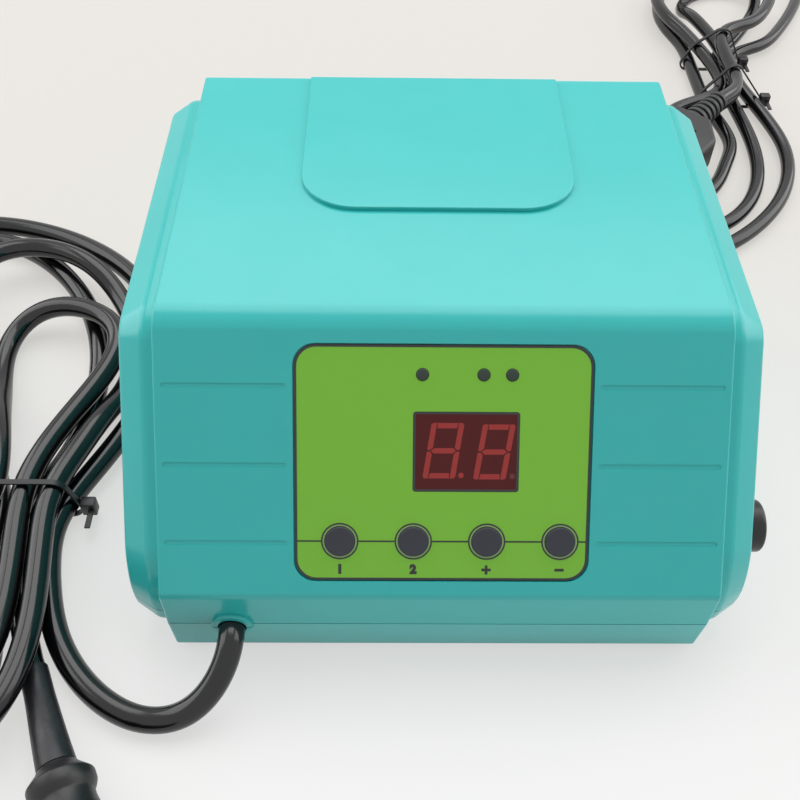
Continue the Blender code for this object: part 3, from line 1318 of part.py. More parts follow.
def tube(name, points, diameter, resolution, look, parent, radii=None):
    """Make a tube with filled ends along a line of points, with its own radius at each where given."""
    curve = bpy.data.curves.new(name, "CURVE")
    curve.dimensions = "3D"
    curve.bevel_depth = diameter / 2
    curve.bevel_resolution = resolution
    curve.use_fill_caps = True
    spline = curve.splines.new("POLY")
    spline.points.add(len(points) - 1)
    for k, place in enumerate(points):
        spline.points[k].co = (*place, 1)
        if radii:
            spline.points[k].radius = radii[k] / curve.bevel_depth
    return piece(name, curve, look, parent)


def trimmed(line, start, end):
    """Shorten a line by a length at each end."""
    reach = along(line)
    wanted = [start, *[r for r in reach if start < r < reach[-1] - end], reach[-1] - end]
    return np.array([np.interp(wanted, reach, line[:, axis]) for axis in range(3)]).T


def front_cord(case, looks):
    """Model the control cord's free run and its hank as two tubes that meet face to face."""
    line, split = hanked_line(CORD_RUN, CORD_HANK, CORD_LOOPS, CORD_TAIL)
    print("control cord: least gap to itself, mm:", round(least_gap(line, CORD_DIAMETER) * 1000, 2))
    run = spaced(line[:split + 1], 2 * CORD_DIAMETER)
    run = trimmed(run, 0, FIT / 2)
    inner = (CORD_X, cord_inner_end(), PARTING_HEIGHT)
    free = [Vector(inner), Vector((CORD_X, WALL, PARTING_HEIGHT))] + [Vector(p) for p in run]
    way = Vector(line[split] - line[split - 2]).normalized()
    free = squared(free, CORD_DIAMETER, end_way=-way)
    tube("front_cord", free, CORD_DIAMETER, 2, looks["cord"], case)
    points = (len(CORD_LOOPS) + 1) * LOOP_POINTS
    hank = trimmed(line[split:], FIT / 2, FIT)
    hank = spaced(hank, along(hank)[-1] / points)
    hank = squared(hank, CORD_DIAMETER, start_way=way)
    tube("front_cord_hank", hank, CORD_DIAMETER, 1, looks["cord"], case)
    far_end(case, looks, line[-1], Vector(line[-1] - line[-3]).normalized())
    return hank


def far_end(case, looks, start, way):
    """Model the heat-shrink sleeve and the bulged inline connector at the control cord's end."""
    level = Vector((way[0], way[1], 0)).normalized()
    start = Vector(start)
    end = start + level * SLEEVE_LENGTH
    end.z = CONNECTOR_RADIUS + FIT
    lead = level * (SLEEVE_LENGTH / 3)
    path = bezier(start, start + lead, end - lead, end - level * FIT)
    radii = [SLEEVE_RADIUS] * 3 + list(np.linspace(SLEEVE_RADIUS, CONNECTOR_NECK_RADIUS, len(path) - 3))
    tube("front_cord_sleeve", path, 2 * SLEEVE_RADIUS, 2, looks["sleeve"], case, radii)
    body = bmesh.new()
    length = CONNECTOR_LENGTH
    neck = CONNECTOR_NECK_RADIUS
    bulge = CONNECTOR_RADIUS
    pin_end = length + CONNECTOR_PIN_LENGTH
    rear = [(0, 0), (neck, 0)] + [(bulge, length * share) for share in CONNECTOR_REAR_SHARES]
    waist = [(CONNECTOR_WAIST_RADIUS, length * share) for share in CONNECTOR_WAIST_SHARES]
    front = [
        (bulge, length * CONNECTOR_FRONT_SHARE), (bulge, length - CONNECTOR_EDGE), (bulge - CONNECTOR_EDGE, length),
        (CONNECTOR_PIN_RADIUS, length), (CONNECTOR_PIN_RADIUS, pin_end - CONNECTOR_EDGE),
        (CONNECTOR_PIN_RADIUS - CONNECTOR_EDGE, pin_end), (0, pin_end)
    ]
    add_turned(body, rear + waist + front, ROUND_SIDES, aim(end, level))
    solid("front_connector", body, looks["sleeve"], case)


def mains_relief(case, look):
    """Model the tapered strain relief that the case wall holds."""
    outer = CASE_DEPTH + FIT
    draft = BASE_DRAFT * RELIEF_FLANGE_RADIUS / (PARTING_HEIGHT - BASE_BOTTOM)
    inner = CASE_DEPTH - draft - WALL - FIT
    profile = (
        (0, inner - RELIEF_FLANGE), (RELIEF_FLANGE_RADIUS, inner - RELIEF_FLANGE), (RELIEF_FLANGE_RADIUS, inner),
        (RELIEF_NECK_RADIUS, inner), (RELIEF_NECK_RADIUS, outer), (RELIEF_FLANGE_RADIUS, outer),
        (RELIEF_FLANGE_RADIUS, outer + RELIEF_FLANGE), (RELIEF_START_RADIUS, outer + RELIEF_FLANGE),
        (RELIEF_END_RADIUS, outer + RELIEF_FLANGE + RELIEF_LENGTH), (0, outer + RELIEF_FLANGE + RELIEF_LENGTH)
    )
    bm = bmesh.new()
    add_turned(bm, profile, ROUND_SIDES, aim((LEAD_X, 0, PARTING_HEIGHT), (0, 1, 0)))
    solid("mains_strain_relief", bm, look, case)


def mains_cord(case, looks):
    """Model the mains lead's free run and its hank, and the plug that lies on the hank."""
    line, split = hanked_line(LEAD_RUN, LEAD_HANK, LEAD_LOOPS, LEAD_TAIL)
    print("mains lead: least gap to itself, mm:", round(least_gap(line, LEAD_DIAMETER) * 1000, 2))
    way = Vector(line[split] - line[split - 2]).normalized()
    run = spaced(trimmed(line[:split + 1], 0, FIT / 2), 2 * LEAD_DIAMETER)
    free = squared(run, LEAD_DIAMETER, start_way=(0, 1, 0), end_way=-way)
    tube("mains_cord", free, LEAD_DIAMETER, 2, looks["cord"], case)
    points = (len(LEAD_LOOPS) + 1) * LOOP_POINTS
    hank = trimmed(line[split:], FIT / 2, FIT)
    hank = spaced(hank, along(hank)[-1] / points)
    hank = squared(hank, LEAD_DIAMETER, start_way=way)
    tube("mains_cord_hank", hank, LEAD_DIAMETER, 1, looks["cord"], case)
    mains_plug(case, looks, Vector(line[-1]), Vector(line[-1] - line[-3]))
    return hank


def mains_plug(case, looks, start, way):
    """Model the flat two-pin plug, moulded in one with its relief and holding its pins."""
    turn = aim(start, (way.x, way.y, 0))
    near, far = PLUG_RELIEF_LENGTH, PLUG_RELIEF_LENGTH + PLUG_LENGTH
    half, neck = PLUG_WIDTH / 2, PLUG_NECK_WIDTH / 2
    shoulder = near + PLUG_LENGTH * PLUG_SHOULDER_SHARE
    corners = [Vector(corner) for corner in (
        (near, -neck), (shoulder, -half), (far, -half), (far, half), (shoulder, half), (near, neck)
    )]
    outline = round_corners(corners, [PLUG_EDGE] * len(corners))
    body = bmesh.new()
    add_prism(body, outline, -PLUG_THICKNESS / 2, PLUG_THICKNESS / 2, turn @ ALONG_Y)
    plug = solid("mains_plug", body, looks["plug"], case)
    relief = bmesh.new()
    end = near + OVERRUN
    add_turned(relief, ((0, 0), (PLUG_RELIEF_END_RADIUS, 0), (PLUG_RELIEF_RADIUS, end), (0, end)), ROUND_SIDES, turn)
    weld(plug, tool("plug_relief", relief, case))
    pins = bmesh.new()
    tip = PIN_LENGTH + OVERRUN
    profile = ((0, 0), (PIN_RADIUS, 0), (PIN_RADIUS, tip - PIN_TIP), (PIN_RADIUS - PIN_TIP, tip), (0, tip))
    for sign in (-1, 1):
        root = turn @ Matrix.Translation((sign * PIN_SPACING / 2, 0, far - OVERRUN))
        add_turned(pins, profile, SMALL_SIDES, root)
    weld(plug, tool("plug_pins", pins, case))


def crossings(line, y, radius):
    """Give the sides, as (z, x), of the strands that pass through a plane across Y."""
    found = []
    for start, end in zip(line, line[1:]):
        if (start[1] - y) * (end[1] - y) < 0:
            step = end - start
            place = start + step * (y - start[1]) / step[1]
            spread = radius * (step.length / abs(step.y) - 1)
            found += [(place[2], place[0] - spread), (place[2], place[0] + spread)]
    return found


def surround(points):
    """Give the corners of the smallest outline round points, anticlockwise."""
    corners = []
    for ordered in (sorted(points), sorted(points, reverse=True)):
        chain = []
        for point in ordered:
            here = Vector(point)
            while len(chain) > 1 and (chain[-1] - chain[-2]).cross(here - chain[-1]) < MERGE_DISTANCE * TIE_WIDTH:
                chain.pop()
            chain.append(here)
        corners += chain[:-1]
    return corners


def tie(name, line, hank, reach, look, parent):
    """Model a cable tie round the strands of a hank's waist, with its head beside the outermost strand."""
    radius = hank["diameter"] / 2
    y = hank["waist"][1] + reach
    planes = (y - TIE_WIDTH / 2, y, y + TIE_WIDTH / 2)
    low = radius + TIE_FIT + TIE_THICKNESS
    places = [place for plane in planes for place in crossings(line, plane, radius)]
    corners = surround([(max(z, low), x) for z, x in places])
    bands = []
    for spare in (TIE_FIT, TIE_FIT + TIE_THICKNESS):
        spread = [-radius - spare] * len(corners)
        bands.append(round_corners(inset_corners(corners, spread), [radius + spare] * len(corners)))
    outer = bmesh.new()
    add_prism(outer, bands[1], y - TIE_WIDTH / 2, y + TIE_WIDTH / 2, ALONG_Y)
    band = solid(name, outer, look, parent)
    inner = bmesh.new()
    add_prism(inner, bands[0], y - TIE_WIDTH, y + TIE_WIDTH, ALONG_Y)
    z, side = max(corners, key=lambda corner: corner.y)
    x = side + radius + TIE_FIT + TIE_THICKNESS / 2
    head = bmesh.new()
    start = (x, y - TIE_HEAD[1] / 2, z - TIE_HEAD[2] / 2)
    add_box(head, start, (x + TIE_HEAD[0], y + TIE_HEAD[1] / 2, z + TIE_HEAD[2] / 2))
    weld(band, tool(name + "_head", head, parent))
    tail = bmesh.new()
    middle = x + TIE_HEAD[0] / 2
    start = (middle, y - TIE_TAIL_LENGTH, z - TIE_THICKNESS / 2)
    add_box(tail, start, (middle + TIE_WIDTH, y, z + TIE_THICKNESS / 2))
    weld(band, tool(name + "_tail", tail, parent))
    cut(band, tool(name + "_bore", inner, parent))


def make_looks():
    """Make the part's materials."""
    return {
        "cover": material("teal_abs", "#4FC4BE", 0.38),
        "overlay": material("printed_green_film", "#78B53A", 0.45),
        "filter": material("red_filter", "#5A1F22", 0.15),
        "display": material("display_module", "#3A1214", 0.4),
        "lamp": material("lamp_resin", "#B9C7B0", 0.25),
        "key": material("dark_grey_abs", "#44444E", 0.45),
        "black": material("black_plastic", "#141416", 0.5),
        "cord": material("black_pvc", "#101216", 0.28),
        "sleeve": material("heat_shrink", "#1C1C20", 0.5),
        "plug": material("moulded_pvc", "#141416", 0.4),
        "rubber": material("rubber", "#1B1B1B", 0.8),
        "steel": material("zinc_plated_steel", "#B8B8B4", 0.35, 1),
        "board": material("circuit_board", "#1F5A34", 0.5),
        "core": material("steel_laminations", "#5A5C60", 0.45, 1),
        "copper": material("enamelled_copper", "#A8552A", 0.35, 1),
        "aluminium": material("aluminium", "#C4C6C8", 0.4, 1),
        "brass": material("brass", "#C9A75A", 0.3, 1),
        "glass": material("glass", "#D8E0E0", 0.1),
        "relay": material("blue_plastic", "#2A4F9A", 0.45),
        "ivory": material("ivory_nylon", "#E6E2D4", 0.5),
        "green": material("green_terminal", "#2E8A4A", 0.45),
        "grey": material("grey_cable", "#8C8F92", 0.55),
    }


def main():
    """Clear the scene and build every piece."""
    for old in list(bpy.data.objects):
        bpy.data.objects.remove(old)
    looks = make_looks()
    case = empty("case_frame", (-BUTTON_PROUD / 2, (COLLAR_PROUD - CASE_DEPTH) / 2, 0))
    face = empty("face_frame", (0, 0, SKIRT_TOP), (FACE_ANGLE, 0, 0), case)
    bores = screw_bores(case)
    holes = cord_holes(case)
    upper_cover(case, face, looks["cover"], bores, holes)
    lower_base(case, looks["cover"], bores, holes)
    feet_and_screws(case, looks["rubber"], looks["steel"])
    front_panel(face, looks)
    keys(face, looks["key"])
    front_board(face, looks)
    power_button(case, looks["black"], looks["ivory"])
    main_board(case, looks)
    transformer(case, looks)
    heatsink(case, looks)
    capacitor(case, looks["black"])
    board_blocks(case, looks)
    fuse(case, looks)
    terminal_block(case, looks["green"])
    panel_cable(case, face, looks)
    front_cord_holder(case, looks)
    hank = front_cord(case, looks)
    tie("front_cord_tie", hank, CORD_HANK, 0, looks["black"], case)
    mains_relief(case, looks["cord"])
    hank = mains_cord(case, looks)
    tie("mains_tie_front", hank, LEAD_HANK, TIE_INSET, looks["black"], case)
    tie("mains_tie_rear", hank, LEAD_HANK, LEAD_HANK["length"] - TIE_INSET, looks["black"], case)


main()
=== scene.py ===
"""Looks for the desktop control box of a portable dental X-ray set.

Run as a script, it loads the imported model, makes every visible piece and its material, and sets up
the stage. Lengths are in metres. Places are written in the case's own frame, x from the middle of the
case, y from its front skirt, z from the table, and CASE moves them into the model's frame.
"""

import json
import math

import bmesh
import bpy
import numpy as np
from bpy.props import FloatProperty, FloatVectorProperty, PointerProperty
from mathutils import Matrix, Vector


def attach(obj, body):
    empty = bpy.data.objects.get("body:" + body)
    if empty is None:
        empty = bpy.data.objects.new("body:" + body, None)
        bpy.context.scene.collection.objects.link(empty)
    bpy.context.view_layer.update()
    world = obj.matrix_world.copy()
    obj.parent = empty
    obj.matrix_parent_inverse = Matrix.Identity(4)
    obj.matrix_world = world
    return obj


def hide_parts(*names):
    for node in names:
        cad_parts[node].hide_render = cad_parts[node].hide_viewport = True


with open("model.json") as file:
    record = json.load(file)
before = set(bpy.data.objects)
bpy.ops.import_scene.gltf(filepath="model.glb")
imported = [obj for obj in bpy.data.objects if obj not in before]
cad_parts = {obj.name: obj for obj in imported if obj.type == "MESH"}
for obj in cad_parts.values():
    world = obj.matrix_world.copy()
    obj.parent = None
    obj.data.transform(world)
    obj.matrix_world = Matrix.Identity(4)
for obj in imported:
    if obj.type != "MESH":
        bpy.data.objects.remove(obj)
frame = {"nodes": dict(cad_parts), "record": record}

bl_info = {
    "name": "Dental Control Box",
    "version": (1, 0, 0),
    "blender": (4, 5, 0),
    "location": "3D Viewport > Sidebar > Control Box",
    "description": "Makes the visible pieces and materials of a desktop control box",
    "category": "Object",
}

# How far a cutting shape runs on beyond what it cuts, the clearance round a part in its opening, and how
# near two places count as one
BEYOND = 0.002
FIT = 0.0003
SAME = 0.00001

# Case: its section in (y, z), its end caps and its parting, as the model has them
CASE_DEPTH = 0.156
CASE_TOP = 0.0837
SKIRT_TOP = 0.0298
FACE_RUN = 0.0476
PARTING = 0.016
PARTING_GAP = FIT
BASE_BOTTOM = 0.0015
BASE_DRAFT = 0.0015
BAND_HALF = 0.072
SHOULDER_END = 0.0755
CASE_END = 0.0824
SHOULDER_STEP = 0.0038
CAP_INSET = 0.0084
CAP_BEVEL = 0.0046
WALL = 0.003
LEAST_RADIUS = 0.0004
COVER_RADII = {"band": (0.003, 0.009, 0.003), "cap": (0.0076, 0.012, 0.0275)}
BASE_RADII = {"band": (0.0008,), "cap": (0.0076,)}
FACE_ANGLE = math.atan2(CASE_TOP - SKIRT_TOP, FACE_RUN)
PAD_MIDDLE = (0, 0.1205)
PAD_SIZE = (0.077, 0.065)
PAD_CORNER = 0.0155
PAD_ROOT = 0.0015

# Screws and feet, in the case's plan
SCREW_PLACES = [(side * 0.065, y) for side in (-1, 1) for y in (0.008, CASE_DEPTH - 0.008)]
SCREW_SEAT = BASE_BOTTOM + 0.0024
SCREW_HEAD_RADIUS = 0.0028
SCREW_RADIUS = 0.0015
SCREW_LENGTH = 0.0225
COUNTERBORE_RADIUS = SCREW_HEAD_RADIUS + FIT
BORE_RADIUS = SCREW_RADIUS + FIT
POST_RADIUS = 0.0038
FOOT_PLACES = [(side * 0.05, y) for side in (-1, 1) for y in (0.015, CASE_DEPTH - 0.015)]
FOOT_RADIUS = 0.006
FOOT_RECESS = 0.0012

# The case's frame, and that of its sloped face
CASE = Matrix.Translation((-0.0028, -0.0774, 0))
FACE = CASE @ Matrix.Translation((0, 0, SKIRT_TOP)) @ Matrix.Rotation(FACE_ANGLE, 4, "X")
# Outlines drawn in (y, z) and pushed along X, and outlines drawn in (z, x) and pushed along Y
ALONG_X = Matrix(((0, 0, 1, 0), (1, 0, 0, 0), (0, 1, 0, 0), (0, 0, 0, 1)))
ALONG_Y = Matrix(((0, 1, 0, 0), (0, 0, 1, 0), (1, 0, 0, 0), (0, 0, 0, 1)))

# Panel, in the face's frame: places are (x, s), x across and s up the slope, with z outwards
RECESS_DEPTH = 0.0012
OVERLAY_LOW = FIT - RECESS_DEPTH
OVERLAY_TOP = -0.0003
OVERLAY_MIDDLE = (0, 0.03465)
OVERLAY_SIZE = (0.0743, 0.0601)
OVERLAY_CORNER = 0.0055
GROOVE_SIZE = (0.0302, 0.0008)
GROOVE_PLACES = [(side * 0.0546, 0.0143 + 0.02 * k) for side in (-1, 1) for k in range(3)]
WINDOW_MIDDLE = (0.0058, 0.03785)
WINDOW_SIZE = (0.0266, 0.0203)
WINDOW_HOLE = (0.0254, 0.01935)
WINDOW_CORNER = 0.0008
WINDOW_FRAME = 0.0006
LAMP_RADIUS = 0.00155
LAMP_PLACES = ((-0.0053, 0.0573), (0.0099, 0.0573), (0.017, 0.0573))
KEY_PLACES = tuple((-0.0258 + 0.0186 * k, 0.0148) for k in range(4))
KEY_RADIUS = 0.00385
CAPTION_S = 0.0074
DIGIT_LINES = (((-0.001, 0.0311), (0.0012, 0.0452)), ((0.0117, 0.0309), (0.014, 0.0449)))
POINT_PLACES = ((0.0046, 0.0319), (0.0175, 0.0317))
POINT_RADIUS = 0.0007
INK = 0.00004

# Button, control cord's collar and mains relief
BUTTON_Y = 0.0242
BUTTON_Z = 0.0271
BUTTON_RADIUS = 0.0072
BUTTON_PROUD = 0.0056
BUTTON_STEM_END = 0.058
COLLAR_RADIUS = 0.0055
COLLAR_PROUD = 0.0012
RELIEF_NECK_RADIUS = 0.0045

# Cords: the part's own routes, in the case's frame. Most of these points and all the loops are what a
# search in another program made of first values, so they aren't a design made by hand.
CORD_DIAMETER = 0.007
CORD_X = -0.0546
CORD_INNER_ENDS = (0.0275, 0.012)
LEAD_DIAMETER = 0.0058
LEAD_X = 0.03
LEAD_INNER_END = 0.173
CURVE_STEP = 0.003
CURVE_READINGS = 12
LOOP_POINTS = 24
TIE_WIDTH = 0.0017
TIE_THICKNESS = 0.0006
TIE_FIT = 0.0005
TIE_INSET = 0.004
SLEEVE_LENGTH = 0.0304
SLEEVE_RADIUS = 0.0039
SLEEVE_STEPS = 16
CONNECTOR_LENGTH = 0.036
CONNECTOR_RADIUS = 0.0084
CONNECTOR_NECK_RADIUS = 0.005
CONNECTOR_WAIST_RADIUS = 0.0072
CORD_RUN = (
    (-0.0546, -0.0012, 0.016), (-0.0547, -0.0065, 0.0155), (-0.0566, -0.0137, 0.0115),
    (-0.0619, -0.0197, 0.0065), (-0.0673, -0.0223, 0.0039), (-0.0783, -0.0222, 0.0036),
    (-0.0868, -0.018, 0.0036), (-0.0954, -0.011, 0.0036), (-0.1044, 0.0008, 0.0036),
    (-0.1096, 0.014, 0.0036), (-0.1125, 0.0262, 0.0036), (-0.1142, 0.0376, 0.0047),
)
CORD_TAIL = (
    (-0.1227, 0.0351, 0.0047), (-0.1198, 0.0269, 0.0038), (-0.118, 0.0133, 0.0036),
    (-0.1132, 0.0022, 0.0037), (-0.1106, -0.0043, 0.0039), (-0.1084, -0.0082, 0.0041),
)
CORD_HANK = {
    "waist": (-0.1145, 0.045), "length": 0, "slot": 0.008, "layer": 0.008, "diameter": CORD_DIAMETER,
    "ease": 0.008
}
# Each loop: near slot, far slot, reach, lean, near bulge, far bulge, their two powers, whether it runs
# from the far slot to the near one, and the shares of the way round where it lies in each layer
CORD_LOOPS = (
    (0, 3, 0.134, -0.0454, 0.0752, 0.0764, 0.9, 1.02, False, ((0, 0), (1, 0))),
    (0, 3, -0.0861, -0.0149, 0.0375, 0.0707, 1.65, 1.13, True, ((0, 1), (0.28, 1), (0.9, 0), (1, 0))),
    (
        0, 3, 0.1122, -0.0222, 0.0493, 0.0382, 1.03, 0.87, False,
        ((0, 1), (0.09, 1), (0.14, 0), (0.29, 0), (0.37, 1), (1, 1))
    ),
    (
        1, 3, -0.0775, -0.0123, 0.0286, 0.0498, 1.5, 1.51, True,
        ((0, 1), (0.47, 1), (0.57, 0), (0.81, 0), (0.96, 1), (1, 1))
    ),
    (
        1, 2, 0.0821, -0.0084, 0.0606, 0.0304, 1.76, 1.55, False,
        ((0, 1), (0.42, 1), (0.67, 0), (0.8, 0), (0.9, 1), (1, 1))
    ),
    (2, 2, -0.0715, -0.0057, 0.036, 0.0464, 2.03, 1.56, True, ((0, 0), (0.46, 0), (0.78, 1), (1, 1))),
    (1, 2, 0.1247, -0.0407, 0.0393, 0.0707, 0.75, 1.18, True, ((0, 0), (1, 0))),
)

# Mains lead: its route to the tie, from the strain relief's end
LEAD_RUN = (
    (0.03, 0.1838, 0.016), (0.03, 0.19, 0.0156), (0.031, 0.199, 0.012), (0.0328, 0.2024, 0.0068),
    (0.0469, 0.2146, 0.0036), (0.0751, 0.206, 0.003), (0.0778, 0.2005, 0.003), (0.0959, 0.1966, 0.003),
    (0.1058, 0.1943, 0.003), (0.1174, 0.2023, 0.003), (0.1241, 0.2103, 0.003), (0.1301, 0.2238, 0.003),
    (0.1362, 0.2384, 0.003), (0.1308, 0.2668, 0.0041),
)
LEAD_TAIL = (
    (0.1407, 0.2633, 0.0175), (0.1375, 0.2565, 0.0182), (0.1322, 0.2508, 0.0195), (0.127, 0.2446, 0.0204),
)
LEAD_HANK = {
    "waist": (0.1497, 0.268), "length": 0.04, "slot": 0.0067, "layer": 0.0067, "diameter": LEAD_DIAMETER,
    "ease": 0.006
}
LEAD_LOOPS = (
    (0, 2, 0.1038, 0.0438, 0.0592, 0.0505, 0.51, 0.91, True, ((0, 0), (1, 0))),
    (0, 2, -0.1076, -0.0494, 0.0358, 0.0665, 0.78, 0.52, False, ((0, 0), (0.5, 0), (0.7, 1), (1, 1))),
    (1, 2, 0.0861, 0.0195, 0.051, 0.0423, 0.86, 0.88, True, ((0, 0), (0.19, 0), (0.6, 1), (1, 1))),
    (1, 1, -0.0895, -0.0334, 0.0275, 0.0706, 1.38, 0.95, False, ((0, 0), (0.49, 0), (0.72, 1), (1, 1))),
    (
        1, 1, 0.0697, 0.0197, 0.0438, 0.0399, 0.46, 1.54, True,
        ((0, 2), (0.27, 2), (0.51, 0), (0.76, 0), (0.86, 1), (1, 1))
    ),
)

# Colours that several pieces share
ZINC = "#B8B8B4"
NICKEL = "#C9C7C0"

# Stage: what the lights point at, the camera as solved from the box's edges in the photograph (lens and
# sensor in millimetres), the table and how bright the surroundings look
LIGHT_TARGET = (0, 0, 0.05)
CAMERA_PLACE = (-0.0168, -0.2, 0.2501)
CAMERA_PITCH, CAMERA_YAW, CAMERA_ROLL = (math.radians(angle) for angle in (49.35, 1.16, 1.21))
FOCAL_LENGTH = 43.62
SENSOR_WIDTH = 36
FLOOR_HALF = 4
# The table's painted light runs between these two places along Y, from the dimmer back to the brighter front
PAINTED_LIGHT_BACK, PAINTED_LIGHT_FRONT = 0.1, -0.15
SEEN_BRIGHTNESS = 0.93


# Colours

def linear(hex_colour):
    """Turn an sRGB hex colour into a linear one."""
    channels = [int(hex_colour[k:k + 2], 16) / 255 for k in (1, 3, 5)]
    return [c / 12.92 if c <= 0.04045 else ((c + 0.055) / 1.055) ** 2.4 for c in channels]


def shade(colour, factor):
    """Give a colour with full alpha, darker or lighter by a factor."""
    return (*[channel * factor for channel in colour[:3]], 1)


# Materials

def add_node(tree, kind, inputs=None, **settings):
    """Add a node with its settings, and link or set its inputs."""
    node = tree.nodes.new(kind)
    for name, value in settings.items():
        setattr(node, name, value)
    for name, value in (inputs or {}).items():
        if isinstance(value, bpy.types.NodeSocket):
            tree.links.new(value, node.inputs[name])
        else:
            node.inputs[name].default_value = value
    return node


def finish(name, make, *values, **sockets):
    """Give a material by name, and make it when it is first asked for."""
    return bpy.data.materials.get(name) or make(name, *values, **sockets)


def start_material(name, colour, roughness, **sockets):
    """Start a material and give its tree, its shader and its Object coordinates."""
    material = bpy.data.materials.new(name)
    material.use_nodes = True
    tree = material.node_tree
    shader = tree.nodes["Principled BSDF"]
    shader.inputs["Base Color"].default_value = shade(colour, 1)
    shader.inputs["Roughness"].default_value = roughness
    for socket, value in sockets.items():
        shader.inputs[socket.replace("_", " ")].default_value = value
    place = add_node(tree, "ShaderNodeTexCoord").outputs["Object"]
    return material, tree, shader, place


def vary_colour(tree, shader, place, low, high, size):
    """Drift the base colour between two shades in soft patches of a given size."""
    noise = add_node(tree, "ShaderNodeTexNoise", {"Vector": place, "Scale": 1 / size, "Detail": 3})
    ramp = add_node(tree, "ShaderNodeMix", {0: noise.outputs[0], 6: low, 7: high}, data_type="RGBA")
    tree.links.new(ramp.outputs[2], shader.inputs["Base Color"])


def vary_roughness(tree, shader, place, low, high, size):
    """Drift the roughness between two values in patches of a given size."""
    noise = add_node(tree, "ShaderNodeTexNoise", {"Vector": place, "Scale": 1 / size, "Detail": 4})
    spread = add_node(tree, "ShaderNodeMapRange", {0: noise.outputs[0], 1: 0.3, 2: 0.7, 3: low, 4: high})
    tree.links.new(spread.outputs[0], shader.inputs["Roughness"])


def raise_bumps(tree, shader, height, depth):
    """Bend the surface by a height pattern, at a real depth."""
    bump = add_node(tree, "ShaderNodeBump", {"Height": height, "Distance": depth, "Strength": 1})
    tree.links.new(bump.outputs[0], shader.inputs["Normal"])


def moulded(name, colour, roughness, grain, depth, drift=0.03, **sockets):
    """Moulded plastic or rubber: a grain of one size and depth, and a slight drift of colour and gloss."""
    material, tree, shader, place = start_material(name, colour, roughness, **sockets)
    vary_colour(tree, shader, place, shade(colour, 1 - drift), shade(colour, 1 + drift), 0.02)
    vary_roughness(tree, shader, place, roughness * 0.9, roughness * 1.12, 0.009)
    skin = add_node(tree, "ShaderNodeTexNoise", {"Vector": place, "Scale": 1 / grain, "Detail": 2})
    raise_bumps(tree, shader, skin.outputs[0], depth)
    return material


def polyester_film(name, colour):
    """Velvet polyester film, screen printed on its back: an even colour under a fine etched grain."""
    material, tree, shader, place = start_material(name, colour, 0.42, IOR=1.6)
    vary_colour(tree, shader, place, shade(colour, 0.97), shade(colour, 1.03), 0.0006)
    # The real grain is about 0.05 mm; 0.25 mm is as fine as shows
    grain = add_node(tree, "ShaderNodeTexVoronoi", {"Vector": place, "Scale": 1 / 0.00025})
    raise_bumps(tree, shader, grain.outputs["Distance"], 0.000006)
    return material


def pvc_sheath(name, colour):
    """Extruded PVC cord sheath: glossy black with a slight orange peel, duller where it was handled."""
    material, tree, shader, place = start_material(name, colour, 0.18, IOR=1.53)
    vary_colour(tree, shader, place, shade(colour, 0.85), shade(colour, 1.25), 0.015)
    vary_roughness(tree, shader, place, 0.1, 0.2, 0.02)
    peel = add_node(tree, "ShaderNodeTexNoise", {"Vector": place, "Scale": 1 / 0.0012, "Detail": 1})
    raise_bumps(tree, shader, peel.outputs[0], 0.00001)
    return material


def shrink_tube(name, colour):
    """Heat-shrink polyolefin: satin, with soft wrinkles a few millimetres long."""
    material, tree, shader, place = start_material(name, colour, 0.4, IOR=1.5)
    vary_roughness(tree, shader, place, 0.34, 0.5, 0.006)
    wrinkles = {"Vector": place, "Scale": 1 / 0.004, "Detail": 3, "Distortion": 0.4}
    folds = add_node(tree, "ShaderNodeTexNoise", wrinkles)
    raise_bumps(tree, shader, folds.outputs[0], 0.0002)
    return material


def plated_metal(name, colour, roughness, grain=0.0008):
    """Plated metal: full metal with a faintly cloudy gloss."""
    material, tree, shader, place = start_material(name, colour, roughness, Metallic=1)
    vary_colour(tree, shader, place, shade(colour, 0.88), shade(colour, 1.08), 0.003)
    vary_roughness(tree, shader, place, roughness * 0.75, roughness * 1.35, grain)
    return material


def banded(name, colour, other, pitch, axis, roughness, **sockets):
    """Layers or conductors side by side, one every pitch: steel laminations, wound tape or flat cable."""
    material, tree, shader, place = start_material(name, colour, roughness, **sockets)
    # A wave texture repeats every pi / 10 of its scaled coordinate
    bands = {"Vector": place, "Scale": math.pi / 10 / pitch}
    wave = add_node(tree, "ShaderNodeTexWave", bands, bands_direction=axis)
    ends = {0: wave.outputs["Fac"], 6: shade(other, 1), 7: shade(colour, 1)}
    blend = add_node(tree, "ShaderNodeMix", ends, data_type="RGBA")
    tree.links.new(blend.outputs[2], shader.inputs["Base Color"])
    raise_bumps(tree, shader, wave.outputs["Fac"], pitch * 0.2)
    return material


def circuit_board(name, colour, copper):
    """FR4 with green solder mask: fine copper tracks under the mask."""
    material, tree, shader, place = start_material(name, colour, 0.3, IOR=1.55)
    tracks = add_node(
        tree, "ShaderNodeTexBrick",
        {"Vector": place, "Scale": 1 / 0.02, "Mortar Size": 0.006, "Color1": shade(colour, 1),
         "Color2": shade(colour, 0.9), "Mortar": shade(copper, 1)},
    )
    tree.links.new(tracks.outputs["Color"], shader.inputs["Base Color"])
    raise_bumps(tree, shader, tracks.outputs["Fac"], 0.00003)
    return material


def clear_tube(name, colour):
    """Clear glass: sees through, with the usual index of soda glass."""
    material, tree, shader, place = start_material(name, colour, 0.05, IOR=1.52, Transmission_Weight=0.9)
    vary_roughness(tree, shader, place, 0.03, 0.09, 0.002)
    return material


# Meshes

def at(x, y, z=0):
    """Give the matrix that moves to a place."""
    return Matrix.Translation((x, y, z))


def rectangle(middle, size):
    """Give the four corners of a rectangle, anticlockwise."""
    x, y = size[0] / 2, size[1] / 2
    return [(middle[0] + a * x, middle[1] + b * y) for a, b in ((-1, -1), (1, -1), (1, 1), (-1, 1))]


